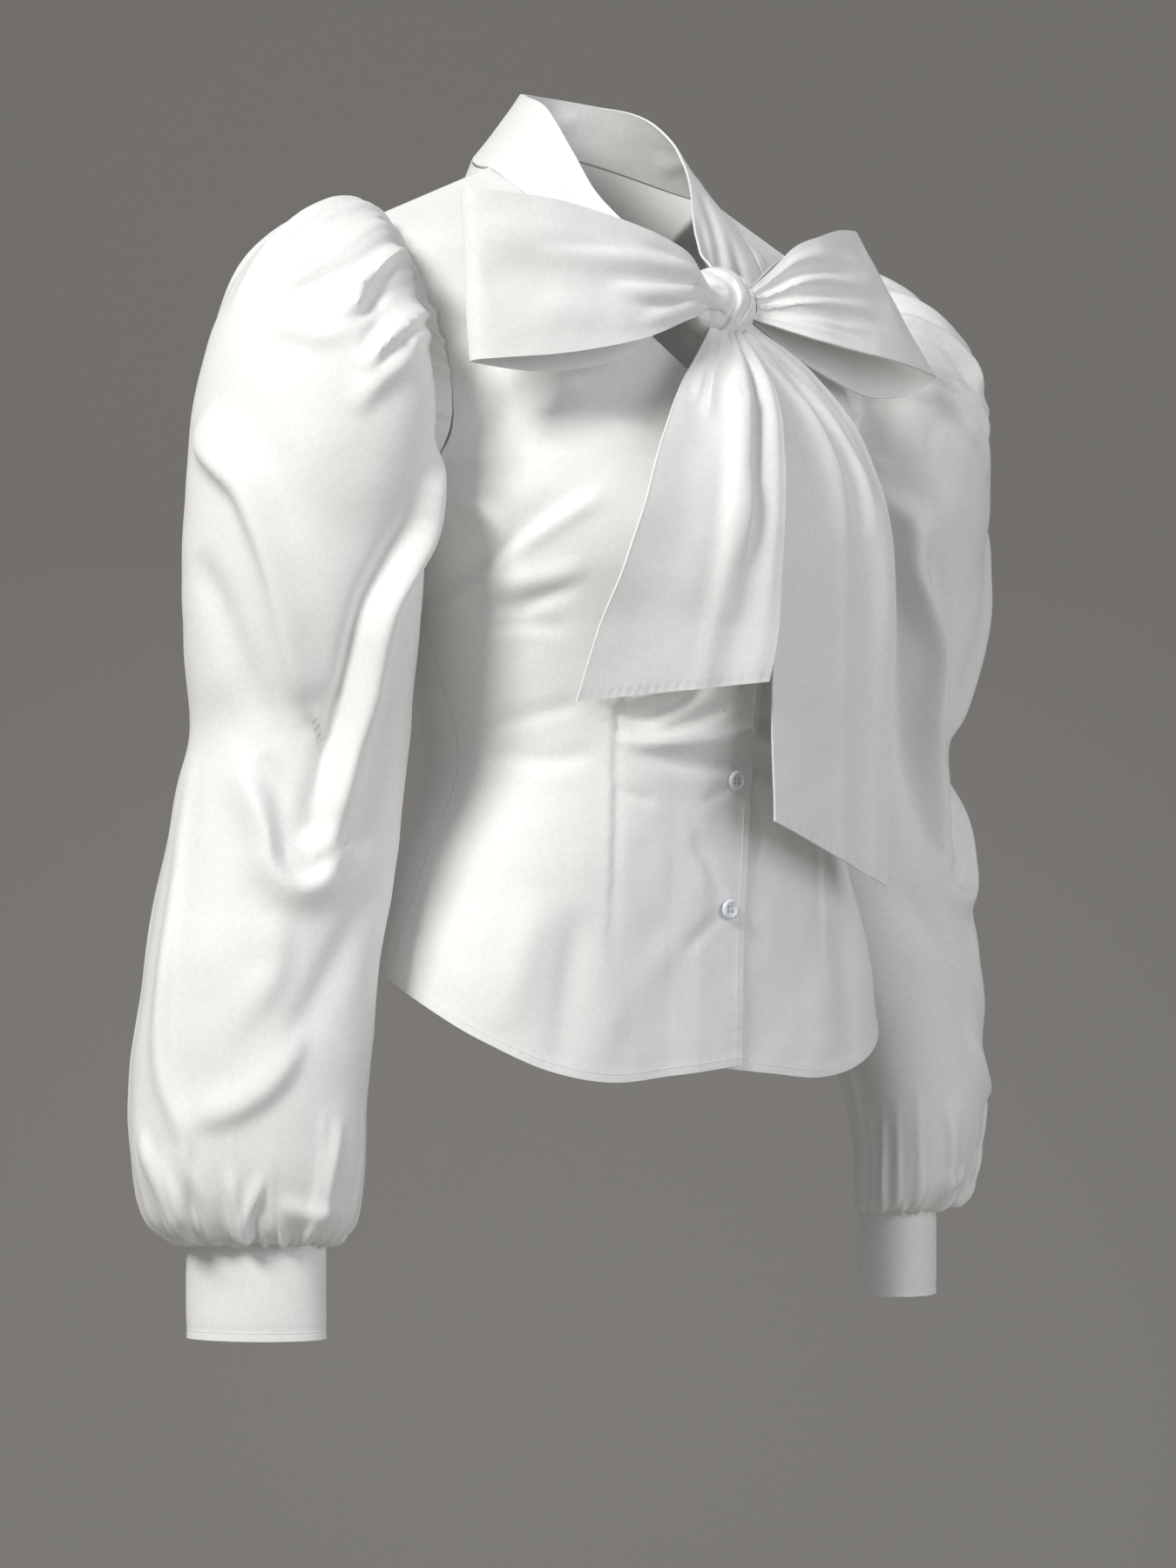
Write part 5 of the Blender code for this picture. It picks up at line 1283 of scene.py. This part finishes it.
LEFT_LOOP_FOLDS = (
    Fold(((0.02, 0.20), (0.10, 0.22), (0.22, 0.26), (0.34, 0.30)), 0.0028, 0.0030, 0.0060, 0.8, 0.0),
    Fold(((0.02, 0.40), (0.10, 0.42), (0.22, 0.45), (0.36, 0.50)), 0.0034, 0.0028, 0.0065, 0.8, 0.0),
    Fold(((0.02, 0.60), (0.10, 0.62), (0.20, 0.64), (0.30, 0.68)), 0.0032, 0.0028, 0.0060, 0.8, 0.0),
    Fold(((0.02, 0.80), (0.12, 0.82), (0.24, 0.86)), 0.0026, 0.0030, 0.0070, 0.8, 0.0),
    Fold(((0.20, 0.12), (0.32, 0.14), (0.42, 0.12)), 0.0016, 0.0080, 0.0090, 0.1, 0.0),
    Fold(((0.60, 0.50), (0.74, 0.50), (0.96, 0.50)), 0.0022, 0.0070, 0.0090, 0.0, 0.6),
)


def bow_loop(table, waves, folds, seed):
    """A loop of the bow with its pleats, folds and seated ends."""
    grid = ribbon([s.top for s in table], [s.foot for s in table], LOOP_ALONG, LOOP_ACROSS)
    plain = grid
    grid = pleated(grid, [s.pleat for s in table], waves)
    grid = press_folds(grid, False, folds, on_strip(plain))
    hold = np.clip(np.minimum(np.linspace(0.0, 6.0, LOOP_ALONG), np.linspace(6.0, 0.0, LOOP_ALONG)), 0.0, 1.0)
    grid = unevenness(grid, False, 0.0008, 0.035, seed, hold[:, None] * np.ones((1, LOOP_ACROSS)))
    return ease_to_knot(ease_to_knot(grid, 0, 12), -1, 12)


right_loop_grid = bow_loop(RIGHT_LOOP, RIGHT_WAVES, RIGHT_LOOP_FOLDS, 13.0)
left_loop_grid = bow_loop(LEFT_LOOP, LEFT_WAVES, LEFT_LOOP_FOLDS, 15.0)
front_way = np.array([0.0, -1.0, 0.0])
loop_right = cloth_sheet("poplin_loop_right", right_loop_grid, thickness=BAND_THICKNESS)
loop_left = cloth_sheet("poplin_loop_left", left_loop_grid, thickness=BAND_THICKNESS)
print("Loops:", len(loop_right.data.polygons), len(loop_left.data.polygons))

# %% Make the two tails
TAIL_ALONG, TAIL_ACROSS = 130, 84
UPPER_WAVES = ((0.30, 0.24, 0.45), (0.63, 0.065, -0.5), (0.78, 0.09, 0.7), (0.93, 0.05, -0.3))
UNDER_WAVES = ((0.22, 0.24, -0.50), (0.58, 0.06, -0.4), (0.74, 0.09, 0.6), (0.88, 0.05, -0.4))
UPPER_TAIL_FOLDS = (
    Fold(((0.02, 0.60), (0.16, 0.62), (0.34, 0.66), (0.52, 0.70), (0.66, 0.72)),
         0.0050, 0.0075, 0.0040, 0.1, 0.0),
    Fold(((0.03, 0.80), (0.18, 0.80), (0.34, 0.82), (0.50, 0.84)), 0.0032, 0.0040, 0.0060, 0.7, 0.0),
    Fold(((0.02, 0.30), (0.14, 0.30), (0.26, 0.33)), 0.0040, 0.0035, 0.0060, 0.8, 0.0),
    Fold(((0.02, 0.14), (0.12, 0.16), (0.22, 0.20)), 0.0026, 0.0030, 0.0050, 0.8, 0.0),
    Fold(((0.40, 0.64), (0.60, 0.70), (0.82, 0.74)), 0.0024, 0.0100, 0.0080, 0.1, 0.0),
    Fold(((0.30, 0.55), (0.50, 0.58), (0.72, 0.60), (0.94, 0.62)), -0.0018, 0.0100, 0.0090, 0.1, 0.2),
)
UNDER_TAIL_FOLDS = (
    Fold(((0.02, 0.45), (0.12, 0.50), (0.24, 0.58), (0.38, 0.62), (0.50, 0.62)),
         0.0044, 0.0080, 0.0040, 0.7, 0.0),
    Fold(((0.02, 0.70), (0.12, 0.74), (0.24, 0.80), (0.40, 0.84), (0.52, 0.84)),
         0.0040, 0.0075, 0.0040, 0.7, 0.0),
    Fold(((0.04, 0.25), (0.16, 0.26), (0.30, 0.30), (0.44, 0.32)), 0.0030, 0.0060, 0.0045, 0.6, 0.0),
    Fold(((0.50, 0.80), (0.70, 0.82), (0.95, 0.84)), -0.0016, 0.0120, 0.0120, 0.1, 0.3),
    Fold(((0.30, 0.92), (0.50, 0.93), (0.72, 0.92)), 0.0014, 0.0060, 0.0060, 0.1, 0.1),
)


def tie_tail(table, waves, folds, seed):
    """A hanging end of the tie."""
    grid = ribbon([s.right for s in table], [s.left for s in table], TAIL_ALONG, TAIL_ACROSS)
    plain = grid
    grid = pleated(grid, [s.pleat for s in table], waves)
    grid = press_folds(grid, False, folds, on_strip(plain))
    grid = unevenness(grid, False, 0.0010, 0.050, seed)
    grid = sewn_edge(grid, False, "high", 0.0042, 0.0002, 0.00020, seed)
    return ease_to_knot(grid, 0, 10)


upper_tail_grid = tie_tail(UPPER_TAIL, UPPER_WAVES, UPPER_TAIL_FOLDS, 17.0)
under_tail_grid = tie_tail(UNDER_TAIL, UNDER_WAVES, UNDER_TAIL_FOLDS, 19.0)
tail_upper = cloth_sheet("poplin_tail_upper", upper_tail_grid, thickness=BAND_THICKNESS, outward=front_way)
tail_under = cloth_sheet("poplin_tail_under", under_tail_grid, thickness=BAND_THICKNESS, outward=front_way)
print("Tails:", len(tail_upper.data.polygons), len(tail_under.data.polygons))

# %% [markdown]
# The knot is one turn of the tie over itself. It is modelled as a rounded body whose surface
# steps down at the edge of each wrap: a lapped fold with one side a tenth of a millimetre wide
# and the other several millimetres. That step catches a hard shadow, as the real edge does.

# %% Make the knot
KNOT_OVER = 1.07            # the wrap covers the ends of the loops
KNOT_FOLD_LINES = (
    # places are directions from the knot's middle: right to left, front to back, down to up
    Fold(((-0.30, -0.60, 0.95), (-0.02, -0.92, 0.55), (0.02, -1.00, 0.05), (-0.18, -0.96, -0.45),
          (-0.30, -0.80, -0.75)),
         0.0030, 0.0005, 0.0065, 0.9, 0.7),
    Fold(((0.66, -0.62, 0.72), (0.52, -0.86, 0.18), (0.30, -0.95, -0.22), (0.10, -0.92, -0.60)),
         0.0026, 0.0005, 0.0060, 0.8, 0.3),
    Fold(((-0.85, -0.45, 0.45), (-0.60, -0.75, 0.35), (-0.30, -0.92, 0.25)), 0.0016, 0.0012, 0.0040, 0.7, 0.1),
    Fold(((-0.80, -0.55, -0.25), (-0.52, -0.85, -0.30), (-0.30, -0.95, -0.42)),
         0.0020, 0.0010, 0.0045, 0.7, 0.2),
    Fold(((-0.10, -0.62, -0.85), (0.25, -0.75, -0.70), (0.62, -0.70, -0.42)), 0.0020, 0.0010, 0.0040, 0.4, 0.4),
    Fold(((0.20, -0.50, 0.90), (0.62, -0.60, 0.45), (0.88, -0.48, 0.02)), 0.0014, 0.0040, 0.0012, 0.6, 0.4),
    Fold(((0.35, -0.85, 0.45), (0.20, -0.95, 0.10), (0.00, -0.98, -0.30)), -0.0008, 0.0030, 0.0030, 0.2, 0.2),
)
knot_bm = bmesh.new()
bmesh.ops.create_icosphere(knot_bm, subdivisions=7, radius=1.0)
knot_units = np.array([vert.co for vert in knot_bm.verts])
knot_units /= np.linalg.norm(knot_units, axis=1)[:, None]
knot_base = knot_units * np.array(KNOT_SIZE) * KNOT_OVER
knot_normal = knot_units / np.array(KNOT_SIZE)
knot_normal /= np.linalg.norm(knot_normal, axis=1)[:, None]
knot_push = np.zeros(len(knot_units))
for fold in KNOT_FOLD_LINES:
    ways = np.array(fold.line)
    ways = ways / np.linalg.norm(ways, axis=1)[:, None] * np.array(KNOT_SIZE) * KNOT_OVER
    knot_push += fold_push(knot_base, knot_normal, ways, fold)
knot_points = knot_base - knot_push[:, None] * knot_normal + np.array(KNOT_CENTRE)
for vert, point in zip(knot_bm.verts, knot_points):
    vert.co = point
knot_mesh = bpy.data.meshes.new("poplin_knot")
knot_uv = knot_bm.loops.layers.uv.new("cloth")
for face in knot_bm.faces:
    for loop in face.loops:
        loop[knot_uv].uv = (loop.vert.co.x, loop.vert.co.z)
knot_bm.to_mesh(knot_mesh)
knot_bm.free()
knot_mesh.shade_smooth()
knot_mesh.materials.append(poplin_material)
knot = bpy.data.objects.new("poplin_knot", knot_mesh)
bpy.context.scene.collection.objects.link(knot)
print("Knot:", len(knot_mesh.polygons), "faces")

# %% [markdown]
# ## Stitches
#
# A shirt is sewn with about eleven stitches to three centimetres. All of them are the same short
# capsule, so Geometry Nodes place it along each seam line: the line is resampled at the stitch
# length, a stitch is set on every point and turned along the line. The tree has named inputs for
# the length, the gap and the thickness, and ends in plain mesh.


# %% The stitching tree
def stitch_tree():
    """Geometry Nodes that lay capsule stitches along a curve."""
    tree = bpy.data.node_groups.new("stitches", "GeometryNodeTree")
    face = tree.interface
    face.new_socket(name="Seam", in_out="INPUT", socket_type="NodeSocketGeometry")
    sizes = {}
    for label, value in (("Stitch pitch", 0.0027), ("Stitch length", 0.0021), ("Thread radius", 0.00016)):
        socket = face.new_socket(name=label, in_out="INPUT", socket_type="NodeSocketFloat")
        socket.default_value = value
        sizes[label] = socket.identifier
    cloth_socket = face.new_socket(name="Thread", in_out="INPUT", socket_type="NodeSocketMaterial")
    sizes["Thread"] = cloth_socket.identifier
    face.new_socket(name="Stitches", in_out="OUTPUT", socket_type="NodeSocketGeometry")
    enter = tree.nodes.new("NodeGroupInput")
    leave = tree.nodes.new("NodeGroupOutput")
    lay = tree.nodes.new("GeometryNodeResampleCurve")
    lay.mode = "LENGTH"
    tree.links.new(enter.outputs["Seam"], lay.inputs["Curve"])
    tree.links.new(enter.outputs["Stitch pitch"], lay.inputs["Length"])
    capsule = tree.nodes.new("GeometryNodeMeshCylinder")
    capsule.inputs["Vertices"].default_value = 6
    tree.links.new(enter.outputs["Thread radius"], capsule.inputs["Radius"])
    tree.links.new(enter.outputs["Stitch length"], capsule.inputs["Depth"])
    tangent = tree.nodes.new("GeometryNodeInputTangent")
    turn = tree.nodes.new("FunctionNodeAlignRotationToVector")
    turn.axis = "Z"
    tree.links.new(tangent.outputs["Tangent"], turn.inputs["Vector"])
    put = tree.nodes.new("GeometryNodeInstanceOnPoints")
    tree.links.new(lay.outputs["Curve"], put.inputs["Points"])
    tree.links.new(capsule.outputs["Mesh"], put.inputs["Instance"])
    tree.links.new(turn.outputs["Rotation"], put.inputs["Rotation"])
    real = tree.nodes.new("GeometryNodeRealizeInstances")
    paint = tree.nodes.new("GeometryNodeSetMaterial")
    tree.links.new(put.outputs["Instances"], real.inputs["Geometry"])
    tree.links.new(real.outputs["Geometry"], paint.inputs["Geometry"])
    tree.links.new(enter.outputs["Thread"], paint.inputs["Material"])
    tree.links.new(paint.outputs["Geometry"], leave.inputs["Stitches"])
    return tree, sizes


STITCHES, STITCH_INPUTS = stitch_tree()


def sew(name, lines, pitch=0.0027, length=0.0021, radius=0.00016):
    """Stitches along several lines of points, as one plain mesh."""
    data = bpy.data.curves.new(name, "CURVE")
    data.dimensions = "3D"
    for line in lines:
        spline = data.splines.new("POLY")
        spline.points.add(len(line) - 1)
        for point, at in zip(spline.points, line):
            point.co = (*at, 1.0)
    guide = bpy.data.objects.new(name, data)
    bpy.context.scene.collection.objects.link(guide)
    modifier = guide.modifiers.new("stitches", "NODES")
    modifier.node_group = STITCHES
    modifier[STITCH_INPUTS["Stitch pitch"]] = pitch
    modifier[STITCH_INPUTS["Stitch length"]] = length
    modifier[STITCH_INPUTS["Thread radius"]] = radius
    modifier[STITCH_INPUTS["Thread"]] = thread_material
    bpy.context.view_layer.update()
    graph = bpy.context.evaluated_depsgraph_get()
    mesh = bpy.data.meshes.new_from_object(guide.evaluated_get(graph))
    guide.modifiers.remove(modifier)
    bpy.data.objects.remove(guide, do_unlink=True)
    bpy.data.curves.remove(data)
    mesh.name = name
    item = bpy.data.objects.new(name, mesh)
    bpy.context.scene.collection.objects.link(item)
    return item


# %% Lines to sew along, taken from the panels themselves
def line_at(grid, closed, edge, distance, sign, lift):
    """Points at one distance from an edge, just above the cloth's face."""
    away = edge_distance(grid, edge)
    normals = grid_normals(grid, closed) * sign
    raised = grid + lift * normals
    axis = 0 if edge in ("low", "high") else 1
    found = []
    for k in range(grid.shape[1 - axis]):
        along = away[:, k] if axis == 0 else away[k]
        points = raised[:, k] if axis == 0 else raised[k]
        order = np.argsort(along)
        found.append([np.interp(distance, along[order], points[order, c]) for c in range(3)])
    return np.array(found)


def face_sign(grid, closed, outward):
    """1 where the grid's own normals look outward, -1 where they look in."""
    normals = grid_normals(grid, closed)
    r, c = grid.shape[0] // 2, grid.shape[1] // 2
    return 1.0 if float(normals[r, c] @ outward) > 0.0 else -1.0


LIFT = 0.5 * CLOTH + 0.00008
right_sign = face_sign(right_front_grid, False, outward_front)
left_sign = face_sign(left_front_grid, False, outward_front)
back_sign = face_sign(back_pressed, False, np.array([0.0, 1.0, 0.0]))
stitches_front_right = sew("stitches_front_right", [
    line_at(right_front_grid, False, "low", HEM_WIDTH - 0.0008, right_sign, LIFT),
    line_at(right_front_grid[:HEM_ROWS + WAIST_ROWS + 4], False, "first", 0.0045, right_sign, LIFT),
])
stitches_front_left = sew("stitches_front_left", [
    line_at(left_front_grid, False, "low", HEM_WIDTH - 0.0008, left_sign, LIFT),
])
stitches_back = sew("stitches_back", [
    line_at(back_pressed, False, "low", HEM_WIDTH - 0.0008, back_sign, LIFT),
])
print("Stitch faces:", len(stitches_front_right.data.polygons), len(stitches_back.data.polygons))

# %% Topstitching of the cuffs
cuff_stitches = {}
for side, turned in (("left", False), ("right", True)):
    grid = cuff_grid(1.0 if turned else 2.0)
    grid = mirrored(grid) if turned else grid
    probe = grid[CUFF_ROWS // 2, CUFF_COLUMNS // 2] - grid[CUFF_ROWS // 2].mean(axis=0)
    sign = face_sign(grid, True, probe)
    lift = 0.5 * CUFF_THICKNESS + 0.00008
    lines = []
    for edge in ("low", "high"):
        line = line_at(grid, True, edge, 0.0045, sign, lift)
        lines.append(np.concatenate([line, line[:1]]))
    cuff_stitches[side] = sew("stitches_cuff_" + side, lines)
print("Cuff stitches:", len(cuff_stitches["left"].data.polygons))

# %% [markdown]
# ## Buttons
#
# An 11.5 mm shirt button is pressed: a raised rim, a shallow dish and four holes. We lay a fine
# polar grid over the disc and set its height ring by ring, then push four pits into it. Cutting
# the holes with booleans would leave ragged edges on such a small thing. The thread crosses the
# holes in two bars.

# %% The shape of one button
BUTTON_RADIUS = 0.00575
BUTTON_THICKNESS = 0.0024
BUTTON_SHANK = 0.0006
BUTTON_PITCH = 0.073
LOWEST_BUTTON_Z = -0.431
FRONT_BUTTONS = 4
CUFF_BUTTON_ANGLE = math.radians(160.0)
HOLE_PLACE, HOLE_RADIUS, HOLE_DEPTH = 0.00130, 0.00068, 0.0015
BUTTON_RINGS, BUTTON_SECTORS = 34, 64


def button_mesh(name):
    """A four-hole button whose face looks along +Z, with its middle at the origin."""
    half = 0.5 * BUTTON_THICKNESS
    outline = []
    for k in range(BUTTON_RINGS + 1):
        share = k / BUTTON_RINGS
        radius = share * BUTTON_RADIUS * 0.94
        rim = 0.00048 * math.exp(-((share - 0.82) / 0.12) ** 2)
        dish = -0.00030 * math.exp(-((share / 0.62) ** 4))
        outline.append((radius, half - 0.0004 + rim + dish))
    for bend in (20, 45, 70, 90, 115, 140, 165):
        turn = math.radians(bend)
        outline.append((BUTTON_RADIUS * (0.94 + 0.06 * math.sin(turn)), (half - 0.0004) * math.cos(turn)))
    outline.append((BUTTON_RADIUS * 0.80, -half + 0.0002))
    outline.append((0.0, -half + 0.0002))
    bm = bmesh.new()
    rings = []
    for radius, height in outline:
        if radius == 0.0:
            rings.append([bm.verts.new((0.0, 0.0, height))])
            continue
        ring = []
        for s in range(BUTTON_SECTORS):
            around = 2.0 * math.pi * s / BUTTON_SECTORS
            x, y = radius * math.cos(around), radius * math.sin(around)
            z = height
            if height > 0.0:
                for hx in (-HOLE_PLACE, HOLE_PLACE):
                    for hy in (-HOLE_PLACE, HOLE_PLACE):
                        gap = math.hypot(x - hx, y - hy)
                        z -= HOLE_DEPTH / (1.0 + math.exp((gap - HOLE_RADIUS) / 0.00007))
            ring.append(bm.verts.new((x, y, z)))
        rings.append(ring)
    for upper, lower in zip(rings, rings[1:]):
        for s in range(BUTTON_SECTORS):
            t = (s + 1) % BUTTON_SECTORS
            if len(upper) == 1:
                bm.faces.new((upper[0], lower[s], lower[t]))
            elif len(lower) == 1:
                bm.faces.new((upper[s], lower[0], upper[t]))
            else:
                bm.faces.new((upper[s], lower[s], lower[t], upper[t]))
    bmesh.ops.recalc_face_normals(bm, faces=bm.faces)
    mesh = bpy.data.meshes.new(name)
    bm.to_mesh(mesh)
    bm.free()
    mesh.shade_smooth()
    mesh.materials.append(button_material)
    return mesh


def place_button(name, centre, normal):
    """A button and its two bars of thread, set on the cloth and turned to face along the normal."""
    normal = Vector(normal).normalized()
    out = 0.5 * WALL + BUTTON_SHANK + 0.5 * BUTTON_THICKNESS
    centre = Vector(centre) + out * normal
    turn = normal.to_track_quat("Z", "Y").to_matrix().to_4x4()
    turn.translation = centre
    mesh = button_mesh(name)
    mesh.transform(turn)
    item = bpy.data.objects.new(name, mesh)
    bpy.context.scene.collection.objects.link(item)
    top = 0.5 * BUTTON_THICKNESS - 0.00045
    bars = []
    for x in (-HOLE_PLACE, HOLE_PLACE):
        for shift in (-0.00018, 0.00018):
            arch = [(x + shift, HOLE_PLACE * s, top + 0.00022 - 0.0006 * abs(s) ** 3)
                    for s in np.linspace(-1, 1, 9)]
            bars.append([tuple(turn @ Vector(point)) for point in arch])
    thread = sew(name + "_thread", bars, pitch=0.0003, length=0.00036, radius=0.00017)
    return item, thread


# %% Buttons on the front and on the cuffs
button_pieces = {}
for k in range(FRONT_BUTTONS):
    z = LOWEST_BUTTON_Z + k * BUTTON_PITCH
    step = 0.004
    slope = float(front_y(0.0, z + step) - front_y(0.0, z - step)) / (2.0 * step)
    y = float(front_y(0.0, z)) - LAP_STEP - 0.5 * SEAM_GAP
    number = FRONT_BUTTONS - k
    button_pieces["button_front_%d" % number] = place_button(
        "shirt_button_%d" % number, (0.0, y, z), (0.0, -1.0, slope))
outer, inner = np.array(CUFF_OUTER), np.array(CUFF_INNER)
reach = 0.5 * (outer - inner)
sine, cosine = math.sin(CUFF_BUTTON_ANGLE), math.cos(CUFF_BUTTON_ANGLE)
cuff_point = 0.5 * (outer + inner) + sine * reach - np.array([0.0, CUFF_HALF_DEPTH * cosine])
tangent = cosine * reach + np.array([0.0, CUFF_HALF_DEPTH * sine])
cuff_normal = np.array([-tangent[1], tangent[0]])
cuff_normal *= math.copysign(1.0, float(cuff_normal @ (cuff_point - 0.5 * (outer + inner))))
cuff_z = 0.5 * (CUFF_TOP_Z + CUFF_FOOT_Z)
for side, sign in (("left", 1.0), ("right", -1.0)):
    button_pieces["button_cuff_" + side] = place_button(
        "cuff_button_" + side, (sign * cuff_point[0], cuff_point[1], cuff_z),
        (sign * cuff_normal[0], cuff_normal[1], 0.0))
print("Buttons:", len(button_pieces))

# %% [markdown]
# ## The sheets in place of the solids
#
# Every sheet stands for its solid in the imported model and rides with the blouse. The flat size of
# each sheet is the size that it was cut to before it was gathered, pleated or folded.

# %% Stand in for the solids and ride with the body; the table lists the flat cloth
SheetFact = namedtuple("SheetFact", "piece node width length area held rests_on extras")
SHEETS = (
    SheetFact(front_right, "front_right", 0.29, 0.56, 0.110, "stretched", ["poplin_back"],
              [stitches_front_right]),
    SheetFact(front_left, "front_left", 0.29, 0.56, 0.110, "stretched", ["poplin_back"], [stitches_front_left]),
    SheetFact(back, "back", 0.46, 0.56, 0.185, "stretched", ["poplin_collar_band"], [stitches_back]),
    SheetFact(sleeve_pieces["right"], "sleeve_right", 0.50, 0.62, 0.270, "gathered",
              ["poplin_front_right"], []),
    SheetFact(sleeve_pieces["left"], "sleeve_left", 0.50, 0.62, 0.270, "gathered", ["poplin_front_left"], []),
    SheetFact(cuff_pieces["right"], "cuff_right", 0.205, 0.055, None, "stretched", ["poplin_sleeve_right"],
              [cuff_stitches["right"]]),
    SheetFact(cuff_pieces["left"], "cuff_left", 0.205, 0.055, None, "stretched", ["poplin_sleeve_left"],
              [cuff_stitches["left"]]),
    SheetFact(collar, "collar_band", 0.052, 0.42, None, "folded", ["poplin_back"], []),
    SheetFact(loop_right, "bow_loop_right", 0.092, 0.33, None, "folded", ["poplin_knot"], []),
    SheetFact(loop_left, "bow_loop_left", 0.092, 0.33, None, "folded", ["poplin_knot"], []),
    SheetFact(tail_upper, "tie_tail_upper", 0.12, 0.23, None, "hung", ["poplin_knot"], []),
    SheetFact(tail_under, "tie_tail_under", 0.12, 0.30, None, "hung", ["poplin_knot"], []),
)
loose = [(knot, "bow_knot", "poplin", [])]
for node, (piece, thread) in button_pieces.items():
    loose.append((piece, node, "button", [thread]))

for fact in SHEETS:
    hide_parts(fact.node)
    for piece in [fact.piece] + fact.extras:
        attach(piece, "root")
for piece, node, slot_name, extras in loose:
    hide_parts(node)
    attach(piece, "root")
    for extra in extras:
        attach(extra, "root")
print("Sheets declared:", len(SHEETS))
